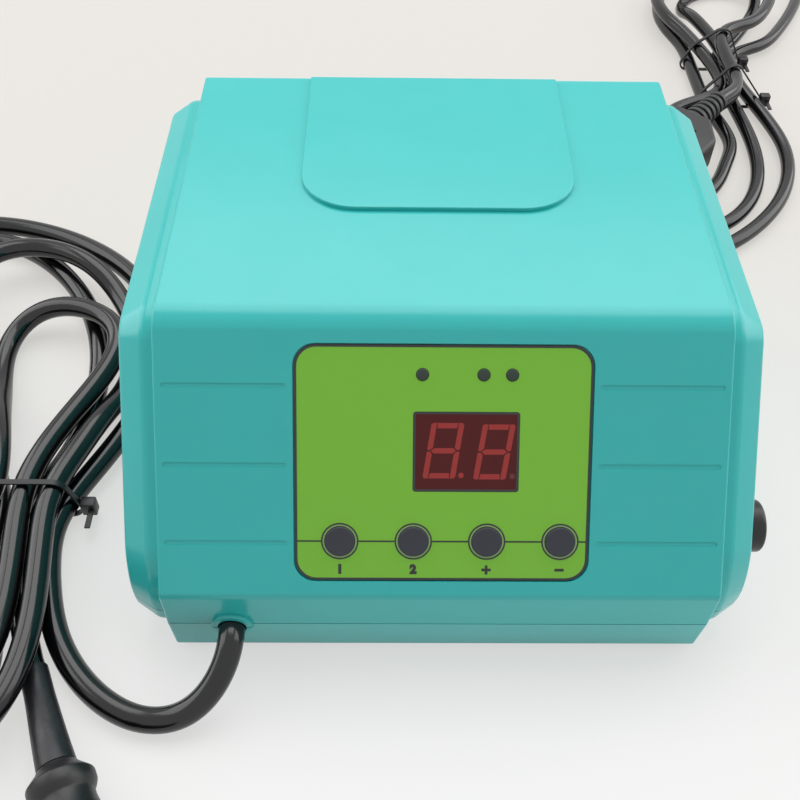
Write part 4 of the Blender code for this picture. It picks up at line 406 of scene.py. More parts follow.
def draw_outline(bm, corners, radii, matrix=None, segments=10):
    """Draw one face from a few corners in an empty mesh, and round each corner by its own radius."""
    corners = [Vector(corner) for corner in corners]
    verts = [bm.verts.new((*corner, 0)) for corner in corners]
    bm.faces.new(verts)
    for k, vert in enumerate(verts):
        if radii[k]:
            back = corners[k - 1] - corners[k]
            ahead = corners[(k + 1) % len(corners)] - corners[k]
            bmesh.ops.bevel(
                bm, geom=[vert], offset=radii[k] / math.tan(back.angle(ahead) / 2), offset_type="OFFSET",
                segments=segments, profile=0.5, affect="VERTICES", material=-1
            )
    bmesh.ops.transform(bm, matrix=matrix or Matrix.Identity(4), verts=bm.verts)
    return next(iter(bm.faces))


def push(bm, face, travel):
    """Extrude a face along a way and give the far face."""
    grown = bmesh.ops.extrude_face_region(bm, geom=[face])
    verts = [item for item in grown["geom"] if isinstance(item, bmesh.types.BMVert)]
    bmesh.ops.translate(bm, vec=travel, verts=verts)
    return next(item for item in grown["geom"] if isinstance(item, bmesh.types.BMFace))


def soften(bm, edges, width, segments=3):
    """Round a set of edges."""
    bmesh.ops.bevel(
        bm, geom=list(edges), offset=width, offset_type="OFFSET", segments=segments, profile=0.5,
        affect="EDGES", material=-1, clamp_overlap=True
    )


def sharp_edges(bm, angle):
    """List the edges whose faces meet at more than an angle in degrees."""
    return [e for e in bm.edges if len(e.link_faces) == 2 and e.calc_face_angle(0) > math.radians(angle)]


def slab(bm, middle, size, low, high, corner=0, rim=0, segments=8):
    """Add a plate with round corners, and with a rounded upper rim."""
    fresh = bmesh.new()
    face = draw_outline(fresh, rectangle(middle, size), [corner] * 4, at(0, 0, low), segments)
    top = push(fresh, face, (0, 0, high - low))
    if rim:
        soften(fresh, top.edges, rim)
    bmesh.ops.recalc_face_normals(fresh, faces=fresh.faces)
    return absorb(bm, fresh)


def absorb(bm, fresh, matrix=None):
    """Move a new body into a mesh, settle it by a matrix, and give the mesh."""
    bmesh.ops.transform(fresh, matrix=matrix or Matrix.Identity(4), verts=fresh.verts)
    held = bpy.data.meshes.new("held")
    fresh.to_mesh(held)
    fresh.free()
    bm.from_mesh(held)
    bpy.data.meshes.remove(held)
    return bm


def turned(bm, profile, matrix=None, steps=48, rounding=0, segments=2, ring=False):
    """Spin a profile of (radius, height) points into a closed body, with its sharp rims rounded."""
    fresh = bmesh.new()
    verts = [fresh.verts.new((radius, 0, height)) for radius, height in profile]
    pairs = list(zip(verts, verts[1:])) + ([(verts[-1], verts[0])] if ring else [])
    edges = [fresh.edges.new(pair) for pair in pairs]
    bmesh.ops.spin(
        fresh, geom=verts + edges, axis=(0, 0, 1), cent=(0, 0, 0), angle=math.tau, steps=steps, use_merge=True
    )
    bmesh.ops.remove_doubles(fresh, verts=fresh.verts, dist=0.000001)
    bmesh.ops.recalc_face_normals(fresh, faces=fresh.faces)
    if rounding:
        soften(fresh, sharp_edges(fresh, 25), rounding, segments)
    return absorb(bm, fresh, matrix)


def rod(bm, start, end, radius, steps=32):
    """Add a plain round rod between two points."""
    start, end = Vector(start), Vector(end)
    turn = (end - start).to_track_quat("Z", "Y").to_matrix().to_4x4()
    bmesh.ops.create_cone(
        bm, cap_ends=True, segments=steps, radius1=radius, radius2=radius, depth=(end - start).length,
        matrix=Matrix.Translation((start + end) / 2) @ turn
    )
    return bm


def mesh_of(bm, name="shape"):
    """Turn a bmesh into a mesh and free it."""
    mesh = bpy.data.meshes.new(name)
    bm.to_mesh(mesh)
    bm.free()
    return mesh


def carved(bm, steps):
    """Cut and weld shapes onto a body one after another, and give the result."""
    shapes = [bpy.data.objects.new("shape", mesh_of(bm))]
    for operation, fresh in steps:
        shape = bpy.data.objects.new("shape", mesh_of(fresh))
        step = shapes[0].modifiers.new("step", "BOOLEAN")
        step.operation = operation
        step.object = shape
        step.solver = "EXACT"
        shapes.append(shape)
    result = bmesh.new()
    made = evaluated_mesh(*shapes)
    result.from_mesh(made)
    bpy.data.meshes.remove(made)
    return result


def add_object(name, data):
    """Put an object in the scene."""
    made = bpy.data.objects.new(name, data)
    bpy.context.scene.collection.objects.link(made)
    return made


def evaluated_mesh(*shapes):
    """Give the first shape's finished mesh, and remove the shapes that it was made from."""
    for shape in shapes:
        bpy.context.scene.collection.objects.link(shape)
    graph = bpy.context.evaluated_depsgraph_get()
    made = bpy.data.meshes.new_from_object(shapes[0].evaluated_get(graph))
    for shape in shapes:
        bpy.data.objects.remove(shape)
    return made


def piece(name, bm, materials, matrix=CASE, body="case", replaces=(), angle=32, weighted=False):
    """Turn a finished bmesh into a piece that rides on a body."""
    bmesh.ops.transform(bm, matrix=matrix, verts=bm.verts)
    mesh = mesh_of(bm, name)
    mesh.shade_smooth()
    mesh.set_sharp_from_angle(angle=math.radians(angle))
    for material in materials if isinstance(materials, tuple) else (materials,):
        mesh.materials.append(material)
    made = add_object(name, mesh)
    if weighted:
        even = made.modifiers.new("even_normals", "WEIGHTED_NORMAL")
        even.keep_sharp = True
    settle(made, body, replaces)
    return made


def settle(made, body, replaces):
    """Hang a piece on the body that it rides on, and hide the model's solids that it stands for."""
    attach(made, body)
    if replaces:
        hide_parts(*replaces)


# Case

def inset_corners(corners, insets):
    """Move each edge of an outline inwards by its own inset. Edge k starts at corner k."""
    corners = [Vector(corner) for corner in corners]
    moved = []
    for k, here in enumerate(corners):
        back = (here - corners[k - 1]).normalized()
        ahead = (corners[(k + 1) % len(corners)] - here).normalized()
        normals = ((-back.y, back.x), (-ahead.y, ahead.x))
        moved.append(here + Vector(np.linalg.solve(normals, (insets[k - 1], insets[k]))))
    return moved


def cover_section(inset, radii, wall):
    """Give the cover's corners in (y, z) and their radii: foot, rear, top, sloped face, skirt."""
    foot = PARTING + PARTING_GAP / 2
    corners = ((0, foot), (CASE_DEPTH, foot), (CASE_DEPTH, CASE_TOP), (FACE_RUN, CASE_TOP), (0, SKIRT_TOP))
    side = inset + wall
    moved = inset_corners(corners, (-WALL if wall else 0, side, side, side, side))
    return moved, (0, 0, *[max(radius - wall, LEAST_RADIUS) for radius in radii])


def base_section(inset, radii, wall):
    """Give the base's corners in (y, z) and their radii: bottom, rear, parting, front."""
    rear, top = CASE_DEPTH - BASE_DRAFT, PARTING - PARTING_GAP / 2
    corners = ((BASE_DRAFT, BASE_BOTTOM), (rear, BASE_BOTTOM), (CASE_DEPTH, top), (0, top))
    side = inset + wall
    moved = inset_corners(corners, (side, side, -WALL if wall else 0, side))
    bottom = max(radii[0] - wall, LEAST_RADIUS)
    return moved, (bottom, bottom, 0, 0)


def lofted(section, stations, wall=0, rounding=0):
    """Bridge the case's section between places along X, and round the edges of the rings."""
    places = [(-x, inset, radii) for x, inset, radii in stations]
    places += [(x, inset, radii) for x, inset, radii in reversed(stations)]
    bm = bmesh.new()
    for k, (x, inset, radii) in enumerate(places):
        fresh = bmesh.new()
        corners, rounds = section(inset, radii, wall)
        draw_outline(fresh, corners, rounds, at(x, 0) @ ALONG_X)
        if 0 < k < len(places) - 1:
            bmesh.ops.delete(fresh, geom=fresh.faces, context="FACES_ONLY")
        absorb(bm, fresh)
    rings = [[e for e in bm.edges if all(abs(v.co.x - x) < SAME for v in e.verts)] for x, _, _ in places]
    for near, far in zip(rings, rings[1:]):
        bmesh.ops.bridge_loops(bm, edges=near + far)
    bmesh.ops.recalc_face_normals(bm, faces=bm.faces)
    if rounding:
        level = min(v.co.z for v in bm.verts) if section is cover_section else max(v.co.z for v in bm.verts)
        edges = [e for ring in rings for e in ring if any(abs(v.co.z - level) > SAME for v in e.verts)]
        soften(bm, edges, rounding, 3)
    return bm


def case_bodies(section, radii, wall=0, roundings=(0, 0)):
    """Loft the bevelled end caps, which run on through the case, and the raised band."""
    end = [radius - CAP_BEVEL for radius in radii["cap"]]
    caps = ((CASE_END - wall, CAP_INSET, end), (SHOULDER_END - wall, SHOULDER_STEP, radii["cap"]))
    return (
        lofted(section, caps, wall, roundings[0]),
        lofted(section, ((BAND_HALF - wall, 0, radii["band"]),), wall, roundings[1]),
    )


def block(bm, low, high):
    """Add a box between two corners."""
    low, high = Vector(low), Vector(high)
    spread = Matrix.Diagonal((*(high - low), 1))
    bmesh.ops.create_cube(bm, size=1, matrix=Matrix.Translation((low + high) / 2) @ spread)
    return bm


def cord_openings():
    """Make the two round holes through the parting: for the control cord and for the strain relief."""
    bm = bmesh.new()
    for x, near, far, radius in (
        (CORD_X, -0.006, 0.03, CORD_DIAMETER / 2),
        (LEAD_X, CASE_DEPTH - 0.01, CASE_DEPTH + 0.005, RELIEF_NECK_RADIUS),
    ):
        rod(bm, (x, near, PARTING), (x, far, PARTING), radius + FIT)
    return bm


def half_collar(side):
    """Make half of the control cord's moulded collar, above (1) or below (-1) the parting."""
    root = -0.0015
    profile = ((0, root), (COLLAR_RADIUS, root), (COLLAR_RADIUS, COLLAR_PROUD), (0, COLLAR_PROUD))
    turn = at(CORD_X, 0, PARTING) @ Matrix.Rotation(math.pi / 2, 4, "X")
    ring = turned(bmesh.new(), profile, turn, rounding=0.0006, segments=3)
    reach = 2 * COLLAR_RADIUS
    low, high = sorted((PARTING + side * PARTING_GAP / 2, PARTING - side * reach))
    other = block(bmesh.new(), (CORD_X - reach, -reach, low), (CORD_X + reach, reach, high))
    return carved(ring, [("DIFFERENCE", other)])


def screw_bores():
    """Make the case screws' counterbores and bores through both halves."""
    bm = bmesh.new()
    low, high = SCREW_SEAT - 0.0005, SCREW_SEAT + SCREW_LENGTH + 2 * FIT
    for x, y in SCREW_PLACES:
        rod(bm, (x, y, BASE_BOTTOM - BEYOND), (x, y, SCREW_SEAT), COUNTERBORE_RADIUS)
        rod(bm, (x, y, low), (x, y, high), BORE_RADIUS)
    return bm


def panel_holes(low, high, window, corner, lamp_radius, key_radius, key_steps):
    """Make the holes for the window, the lamps and the keys."""
    holes = slab(bmesh.new(), WINDOW_MIDDLE, window, low, high, corner)
    for places, radius, steps in ((LAMP_PLACES, lamp_radius, 32), (KEY_PLACES, key_radius, key_steps)):
        for x, s in places:
            rod(holes, (x, s, low), (x, s, high), radius, steps)
    return holes


def panel_openings(groove_depth):
    """Make the overlay's recess, the six grooves beside it, and the holes for window, lamps and keys."""
    recess = bmesh.new()
    size = [side + 2 * FIT for side in OVERLAY_SIZE]
    slab(recess, OVERLAY_MIDDLE, size, -RECESS_DEPTH, BEYOND, OVERLAY_CORNER)
    lip = [side + 0.0006 for side in GROOVE_SIZE]
    for middle in GROOVE_PLACES:
        slab(recess, middle, GROOVE_SIZE, -groove_depth, BEYOND, 0.0003, segments=3)
        slab(recess, middle, lip, -groove_depth / 4, BEYOND, 0.0006, segments=3)
    holes = panel_holes(-2 * WALL, -0.001, WINDOW_HOLE, 0, LAMP_RADIUS + 0.00025, KEY_RADIUS + FIT, 32)
    for bm in (recess, holes):
        bmesh.ops.transform(bm, matrix=CASE.inverted() @ FACE, verts=bm.verts)
    return recess, holes


def case_plastic(settings):
    """Moulded ABS in teal, with a satin mould finish: broad soft highlights and a hardly visible grain."""
    grain, depth = 0.0006, 0.0000025
    return finish("teal_moulded_abs", moulded, settings.case_colour, settings.case_roughness, grain, depth)


def half_shell(settings, section, radii, posts_low, posts_high):
    """Give a case half's end caps, its band, and the hollow inside it that leaves the screw posts."""
    caps, band = case_bodies(section, radii, roundings=(settings.cap_rounding, settings.band_rounding))
    hollow, band_hollow = case_bodies(section, radii, WALL)
    posts = bmesh.new()
    for x, y in SCREW_PLACES:
        rod(posts, (x, y, posts_low), (x, y, posts_high), POST_RADIUS)
    return caps, band, carved(hollow, [("UNION", band_hollow), ("DIFFERENCE", posts)])


def make_cover(settings):
    """Make the cover: end caps, raised band, pad, panel recess, grooves and openings, on hollow walls."""
    low, high = PARTING + PARTING_GAP / 2, CASE_TOP + BEYOND
    caps, band, hollow = half_shell(settings, cover_section, COVER_RADII, low, high)
    pad = bmesh.new()
    radii = (PAD_CORNER, PAD_CORNER, LEAST_RADIUS, LEAST_RADIUS)
    face = draw_outline(pad, rectangle(PAD_MIDDLE, PAD_SIZE), radii, at(0, 0, CASE_TOP - PAD_ROOT))
    top = push(pad, face, (0, 0, PAD_ROOT + settings.pad_height))
    soften(pad, top.edges, settings.pad_height * 0.7, 4)
    bmesh.ops.recalc_face_normals(pad, faces=pad.faces)
    ends = [(x, BUTTON_Y, BUTTON_Z) for x in (CASE_END - 2 * WALL, CASE_END + BEYOND)]
    button = rod(bmesh.new(), *ends, BUTTON_RADIUS + FIT, 48)
    recess, holes = panel_openings(settings.groove_depth)
    cuts = [("DIFFERENCE", cut) for cut in (hollow, recess, holes, button, screw_bores(), cord_openings())]
    cover = carved(caps, [("UNION", band), ("UNION", pad), ("UNION", half_collar(1)), *cuts])
    teal = case_plastic(settings)
    piece("cover", cover, teal, replaces=("upper_cover",), weighted=True)


def make_base(settings):
    """Make the base: tray with drafted walls, foot recesses, counterbores and the collar's lower half."""
    top = PARTING - PARTING_GAP / 2
    caps, band, hollow = half_shell(settings, base_section, BASE_RADII, BASE_BOTTOM, top)
    feet = bmesh.new()
    for x, y in FOOT_PLACES:
        rod(feet, (x, y, BASE_BOTTOM - BEYOND), (x, y, BASE_BOTTOM + FOOT_RECESS), FOOT_RADIUS + FIT)
    cuts = [("DIFFERENCE", cut) for cut in (hollow, feet, screw_bores(), cord_openings())]
    base = carved(caps, [("UNION", band), ("UNION", half_collar(-1)), *cuts])
    piece("base", base, case_plastic(settings), replaces=("lower_base",), weighted=True)


def make_feet():
    """Make the four rubber feet, hollowed underneath, in their recesses."""
    rubber = finish("black_moulded_rubber", moulded, linear("#1B1B1B"), 0.75, 0.0005, 0.00002)
    top = BASE_BOTTOM + FOOT_RECESS - FIT
    hollow = 0.0003
    profile = (
        (0, hollow), (FOOT_RADIUS - 0.002, hollow), (FOOT_RADIUS - 0.0017, 0), (FOOT_RADIUS, 0),
        (FOOT_RADIUS, top), (0, top)
    )
    for k, (x, y) in enumerate(FOOT_PLACES):
        foot = turned(bmesh.new(), profile, at(x, y), rounding=0.0002)
        piece(f"foot_{k + 1}", foot, rubber, replaces=(f"rubber_foot_{k + 1}",))


def make_case_screws():
    """Make the four case screws, with cross recesses in their heads and rolled threads."""
    steel = finish("zinc_plated_steel", plated_metal, linear(ZINC), 0.32)
    tip = SCREW_SEAT + SCREW_LENGTH
    thread_start, pitch, depth = SCREW_SEAT + 0.009, 0.001, 0.0003
    thread = [(SCREW_RADIUS - depth * (k % 2), thread_start + pitch / 2 * k) for k in range(26)]
    profile = [
        (0, SCREW_SEAT - 0.0019), (0.0022, SCREW_SEAT - 0.0018), (SCREW_HEAD_RADIUS, SCREW_SEAT - 0.0012),
        (SCREW_HEAD_RADIUS, SCREW_SEAT), (SCREW_RADIUS, SCREW_SEAT), *thread, (0.0008, tip), (0, tip)
    ]
    arm, slit, low, high = 0.0015, 0.0003, SCREW_SEAT - 0.0025, SCREW_SEAT - 0.0009
    for k, (x, y) in enumerate(SCREW_PLACES):
        screw = turned(bmesh.new(), profile, steps=24)
        cross = block(bmesh.new(), (-arm, -slit, low), (arm, slit, high))
        upright = block(bmesh.new(), (-slit, -arm, low), (slit, arm, high))
        screw = carved(screw, [("DIFFERENCE", cross), ("DIFFERENCE", upright)])
        place = CASE @ at(x, y) @ Matrix.Rotation(0.6 * k, 4, "Z")
        piece(f"screw_{k + 1}", screw, steel, place, replaces=(f"case_screw_{k + 1}",))


# Panel

def ink_ring(bm, x, s, inner, outer):
    """Add a flat printed ring on the film."""
    low, high = OVERLAY_TOP - INK, OVERLAY_TOP + INK
    turned(bm, ((inner, low), (outer, low), (outer, high), (inner, high)), at(x, s), ring=True)


def ink_bar(bm, start, end, width):
    """Add a flat printed line on the film, along x or along s."""
    middle = ((start[0] + end[0]) / 2, (start[1] + end[1]) / 2)
    size = (abs(end[0] - start[0]) or width, abs(end[1] - start[1]) or width)
    slab(bm, middle, size, OVERLAY_TOP - INK, OVERLAY_TOP + INK)


def lettered(bm, words, size, x, s):
    """Add printed words on the film."""
    curve = bpy.data.curves.new("caption", "FONT")
    curve.body = words
    curve.size = size
    curve.align_x = "CENTER"
    curve.align_y = "CENTER"
    curve.extrude = INK
    curve.offset = size * 0.08
    made = evaluated_mesh(bpy.data.objects.new("caption", curve))
    made.transform(at(x, s, OVERLAY_TOP))
    bm.from_mesh(made)
    bpy.data.meshes.remove(made)


def upper_face(bm):
    """Give a plate's top face."""
    return max(bm.faces, key=lambda face: (round(face.calc_center_median().z, 6), face.calc_area()))


def make_overlay(settings):
    """Make the film: green inside a dark border, with openings for window, lamps and keys."""
    green = finish("green_printed_polyester", polyester_film, settings.film_colour)
    dark = finish("dark_printed_polyester", polyester_film, settings.border_colour)
    film = slab(
        bmesh.new(), OVERLAY_MIDDLE, OVERLAY_SIZE, OVERLAY_LOW, OVERLAY_TOP, OVERLAY_CORNER, rim=0.00012
    )
    top = upper_face(film)
    bmesh.ops.inset_region(film, faces=[top], thickness=settings.border_width, use_even_offset=True)
    top.material_index = 1
    window = [side + 0.0001 for side in WINDOW_SIZE]
    radii = (LAMP_RADIUS + 0.0001, KEY_RADIUS + 0.00008)
    holes = panel_holes(-0.002, 0.001, window, WINDOW_CORNER, *radii, 48)
    piece(
        "overlay", carved(film, [("DIFFERENCE", holes)]), (dark, green), FACE,
        replaces=("front_overlay",), angle=20
    )


def make_marks(settings):
    """Make the prints on the film: a line through the keys, two rings round each key, and captions."""
    pale = finish("pale_screen_ink", polyester_film, settings.ring_colour)
    black = finish("black_screen_ink", polyester_film, settings.ink_colour)
    rings, marks = bmesh.new(), bmesh.new()
    level = KEY_PLACES[0][1]
    outer = KEY_RADIUS + 0.0009
    edge = OVERLAY_SIZE[0] / 2 - settings.border_width
    stops = [-edge] + [x + side * outer for x, s in KEY_PLACES for side in (-1, 1)] + [edge]
    for start, end in zip(stops[::2], stops[1::2]):
        ink_bar(marks, (start, level), (end, level), 0.0004)
    for x, s in KEY_PLACES:
        ink_ring(rings, x, s, KEY_RADIUS + 0.00012, KEY_RADIUS + 0.00048)
        ink_ring(marks, x, s, KEY_RADIUS + 0.0005, outer)
    for words, (x, s) in zip("12", KEY_PLACES):
        lettered(marks, words, 0.0031, x, CAPTION_S)
    # The plus and the minus: a level bar each, and the plus's upright in two halves
    arm, stroke = 0.0012, 0.0007
    for x, s in KEY_PLACES[2:]:
        ink_bar(marks, (x - arm, CAPTION_S), (x + arm, CAPTION_S), stroke)
    x = KEY_PLACES[2][0]
    for side in (-1, 1):
        ink_bar(marks, (x, CAPTION_S + side * stroke / 2), (x, CAPTION_S + side * arm), stroke)
    piece("key_rings", rings, pale, FACE)
    piece("panel_marks", marks, black, FACE)


def plate(bm, corners, low, high, matrix):
    """Add a flat plate of any outline."""
    fresh = bmesh.new()
    face = draw_outline(fresh, corners, [0] * len(corners), at(0, 0, low))
    push(fresh, face, (0, 0, high - low))
    bmesh.ops.recalc_face_normals(fresh, faces=fresh.faces)
    absorb(bm, fresh, matrix)


def digit(bm, foot, head, low, high):
    """Add the seven segments of a digit between the middle of its foot and of its head."""
    half, bar, gap, nick, slant = 0.0041, 0.00136, 0.00015, 0.0004, 0.0002
    height = head[1] - foot[1]
    middle = height / 2
    tilt = (head[0] - foot[0]) / height
    lean = Matrix(((1, tilt, 0, foot[0]), (0, 1, 0, foot[1]), (0, 0, 1, 0), (0, 0, 0, 1)))
    inner = half - bar
    upright = (
        (half, middle + 2 * gap), (half - bar / 2, middle + gap), (inner, middle + bar / 2 + gap),
        (inner, height), (half - nick, height), (half, height - nick)
    )
    level = (
        (gap - inner, height), (inner - gap, height), (inner - gap - slant, height - bar),
        (gap + slant - inner, height - bar)
    )
    for flip in (-1, 1):
        for side in (-1, 1):
            corners = [(side * x, middle + flip * (y - middle)) for x, y in upright]
            plate(bm, corners, low, high, lean)
        plate(bm, [(x, middle + flip * (y - middle)) for x, y in level], low, high, lean)
    point, waist = half - bar * 0.7, inner - nick
    centre = (
        (-point, middle), (-waist, middle + bar / 2), (waist, middle + bar / 2), (point, middle),
        (waist, middle - bar / 2), (-waist, middle - bar / 2)
    )
    plate(bm, centre, low, high, lean)


def make_display(settings):
    """Make the window with its printed frame, and the two digits and points seen through it; the lit
    segments' glow is painted into their red colour.
    """
    frame_ink = finish("dark_frame_ink", polyester_film, settings.border_colour)
    acrylic = finish(
        "red_tinted_acrylic", moulded, settings.window_colour, 0.16, 0.001, 0.000001, Specular_IOR_Level=0.25
    )
    # Painted light: the lit segments' glow is painted into their colour, and no light comes from them
    lit = finish("red_segment_resin", moulded, settings.segment_glow_colour, 0.2, 0.0008, 0.000001)
    dim = finish("dim_segment_resin", moulded, settings.point_colour, 0.2, 0.0008, 0.000001)
    level = OVERLAY_TOP - 0.00005
    low, high = level - INK, level + INK / 2
    digits, points = bmesh.new(), bmesh.new()
    window = slab(bmesh.new(), WINDOW_MIDDLE, WINDOW_SIZE, OVERLAY_LOW, level, WINDOW_CORNER)
    top = upper_face(window)
    bmesh.ops.inset_region(window, faces=[top], thickness=WINDOW_FRAME, use_even_offset=True)
    top.material_index = 1
    for foot, head in DIGIT_LINES:
        digit(digits, foot, head, low, high)
    for bm, (x, s) in zip((digits, points), POINT_PLACES):
        rod(bm, (x, s, low), (x, s, high), POINT_RADIUS)
    piece("window", window, (frame_ink, acrylic), FACE, replaces=("display_window",))
    piece("digits", digits, lit, FACE)
    piece("points", points, dim, FACE)


def make_lamps(settings):
    """Make the three unlit indicator lamps with low domes."""
    resin = finish("smoked_lamp_resin", moulded, settings.lamp_colour, 0.5, 0.0006, 0.000004)
    low, flange = -0.0095, 0.0019
    profile = (
        (0, low), (flange, low), (flange, low + 0.001), (LAMP_RADIUS, low + 0.001), (LAMP_RADIUS, -0.00025),
        (LAMP_RADIUS - 0.0001, -0.00012), (0.0012, -0.00004), (0.0007, 0), (0, 0.00002)
    )
    for k, (x, s) in enumerate(LAMP_PLACES):
        dome = turned(bmesh.new(), profile, at(x, s), steps=32)
        node = f"indicator_lamp_{k + 1}"
        piece(f"lamp_{k + 1}", dome, resin, FACE, replaces=(node,), angle=50)


def make_keys(settings):
    """Make the four key caps, each riding on its own body."""
    plastic = finish("grey_moulded_key", moulded, settings.key_colour, 0.45, 0.0005, 0.000004)
    top = OVERLAY_TOP + 0.0007
    flange, flange_top, flange_low, stem, stem_end = 0.005, -0.0033, -0.0041, 0.0014, -0.0079
    profile = (
        (0, top - 0.00015), (0.0018, top - 0.0001), (0.0032, top - 0.00001), (KEY_RADIUS - 0.0003, top),
        (KEY_RADIUS - 0.0001, top - 0.0001), (KEY_RADIUS, top - 0.0003), (KEY_RADIUS, flange_top),
        (flange, flange_top), (flange, flange_low), (stem, flange_low), (stem, stem_end), (0, stem_end)
    )
    for k, (x, s) in enumerate(KEY_PLACES):
        name = f"key_{k + 1}"
        cap = turned(bmesh.new(), profile, at(x, s))
        piece(f"{name}_cap", cap, plastic, FACE, name, (name,), 50)


def make_button():
    """Make the round power button with its soft rim and shallow dish."""
    plastic = finish("black_gloss_abs", moulded, linear("#131315"), 0.3, 0.0006, 0.000003)
    top, rim, flange, stem = BUTTON_PROUD, 0.0012, 0.0085, 0.003
    flange_top, stem_end = -WALL - FIT, BUTTON_STEM_END - CASE_END
    flange_low = flange_top - 0.0015
    profile = [(0, top - 0.0004), (0.003, top - 0.0003), (0.0052, top - 0.00008)]
    profile += [
        (BUTTON_RADIUS - rim * (1 - math.sin(turn)), top - rim * (1 - math.cos(turn)))
        for turn in np.linspace(0, math.pi / 2, 7)
    ]
    profile += [(BUTTON_RADIUS, flange_top), (flange, flange_top), (flange, flange_low), (stem, flange_low)]
    profile += [(stem, stem_end), (0, stem_end)]
    place = at(CASE_END, BUTTON_Y, BUTTON_Z) @ Matrix.Rotation(math.pi / 2, 4, "Y")
    button = turned(bmesh.new(), profile, place)
    piece("button", button, plastic, CASE, "power_button", ("power_button",), 40)


# Cords

def layer_share(share, climbs):
    """Give the layer at a share of the way round, easing between the listed ones."""
    shares = [climb[0] for climb in climbs]
    k = min(max(int(np.searchsorted(shares, share, side="right")) - 1, 0), len(climbs) - 2)
    t = min(max((share - shares[k]) / (shares[k + 1] - shares[k]), 0), 1)
    return climbs[k][1] + (climbs[k + 1][1] - climbs[k][1]) * t * t * (3 - 2 * t)


def loop_points(hank, loop):
    """Give a loop of a hank as a bulged half turn from one slot of the waist to another."""
    near, far, reach, lean, near_bulge, far_bulge, near_power, far_power, backward, climbs = loop
    points = []
    for k in range(LOOP_POINTS + 1):
        angle = math.pi * k / LOOP_POINTS
        out, across = math.sin(angle), math.cos(angle)
        bulge = near_bulge * out ** near_power if across > 0 else far_bulge * out ** far_power
        slot = near + (far - near) * (1 - across) / 2
        x = hank["waist"][0] - hank["slot"] * slot + lean * out ** 2 + across * bulge
        y = hank["waist"][1] + reach * out + (hank["length"] if reach > 0 else 0)
        lifted = (TIE_THICKNESS + TIE_FIT) * across ** 8
        z = hank["diameter"] / 2 + hank["layer"] * layer_share(k / LOOP_POINTS, climbs) + lifted
        points.append((x, y, z))
    return points[::-1] if backward else points


def catmull_rom(points, step):
    """Read a centripetal Catmull-Rom curve through the points, one place every step."""
    points = np.array(points, float)
    chain = np.vstack((2 * points[0] - points[1], points, 2 * points[-1] - points[-2]))
    places = []
    for a, b, c, d in zip(chain, chain[1:], chain[2:], chain[3:]):
        ta = 0
        tb = ta + np.linalg.norm(b - a) ** 0.5
        tc = tb + np.linalg.norm(c - b) ** 0.5
        td = tc + np.linalg.norm(d - c) ** 0.5
        for t in np.linspace(tb, tc, CURVE_READINGS, endpoint=False):
            ab = ((tb - t) * a + (t - ta) * b) / (tb - ta)
            bc = ((tc - t) * b + (t - tb) * c) / (tc - tb)
            cd = ((td - t) * c + (t - tc) * d) / (td - tc)
            abc = ((tc - t) * ab + (t - ta) * bc) / (tc - ta)
            bcd = ((td - t) * bc + (t - tb) * cd) / (td - tb)
            places.append(((tc - t) * abc + (t - tb) * bcd) / (tc - tb))
    places.append(points[-1])
    return spaced(np.array(places), step)


def along(points):
    """Give the distance of each point from the start."""
    return np.concatenate(([0], np.cumsum(np.linalg.norm(np.diff(points, axis=0), axis=1))))


def spaced(points, step):
    """Space points evenly along a line."""
    reach = along(points)
    count = max(2, int(reach[-1] / step) + 1)
    wanted = np.linspace(0, reach[-1], count)
    return np.array([np.interp(wanted, reach, points[:, axis]) for axis in range(3)]).T


def eased(points, step, width):
    """Ease out a line's tight spots with a bell-shaped average that narrows at both ends."""
    span = int(3 * width / step)
    bell = np.exp(-0.5 * (np.arange(-span, span + 1) * step / width) ** 2)
    result = points.copy()
    for k in range(len(points)):
        m = min(span, k, len(points) - 1 - k)
        weights = bell[span - m:span + m + 1]
        result[k] = (points[k - m:k + m + 1] * weights[:, None]).sum(axis=0) / weights.sum()
    return result


def hanked_line(run, hank, loops, tail):
    """Give a cord's whole middle line, and where its free run ends and its hank starts."""
    chain = list(run)
    for loop in loops:
        chain += loop_points(hank, loop)[1:]
    line = eased(catmull_rom(chain + list(tail), CURVE_STEP), CURVE_STEP, hank["ease"])
    split = int(np.argmin(np.linalg.norm(line[:len(line) // 3] - np.array(run[-1]), axis=1)))
    return line, split


def bezier(start, leave, arrive, end, steps):
    """Read points from a Bezier curve."""
    points = []
    for t in np.linspace(0, 1, steps + 1):
        u = 1 - t
        points.append(start * u ** 3 + leave * (3 * u * u * t) + arrive * (3 * u * t * t) + end * t ** 3)
    return points


def aim(start, way):
    """Give the matrix that turns +Z along a way, with local Y as near up as it goes."""
    way = Vector(way).normalized()
    across = Vector((0, 0, 1)).cross(way).normalized()
    turn = Matrix((across, way.cross(across), way)).transposed()
    return Matrix.Translation(start) @ turn.to_4x4()


def tube(name, points, radius, material, replaces, radii=None, resolution=5):
    """Make a round tube with filled ends along a line of points in the case's frame."""
    curve = bpy.data.curves.new(name, "CURVE")
    curve.dimensions = "3D"
    curve.bevel_depth = radius
    curve.bevel_resolution = resolution
    curve.use_fill_caps = True
    spline = curve.splines.new("POLY")
    spline.points.add(len(points) - 1)
    for k, place in enumerate(points):
        spline.points[k].co = (*(CASE @ Vector(place)), 1)
        if radii:
            spline.points[k].radius = radii[k] / radius
    curve.materials.append(material)
    made = add_object(name, curve)
    settle(made, "case", replaces)
    return made


def crossings(line, y, radius):
    """Give the sides, as (z, x), of the strands that pass through a plane across Y."""
    found = []
    for start, end in zip(line, line[1:]):
        if (start[1] - y) * (end[1] - y) < 0:
            step = end - start
            place = start + step * (y - start[1]) / step[1]
            spread = radius * (np.linalg.norm(step) / abs(step[1]) - 1)
            found += [(place[2], place[0] - spread), (place[2], place[0] + spread)]
    return found


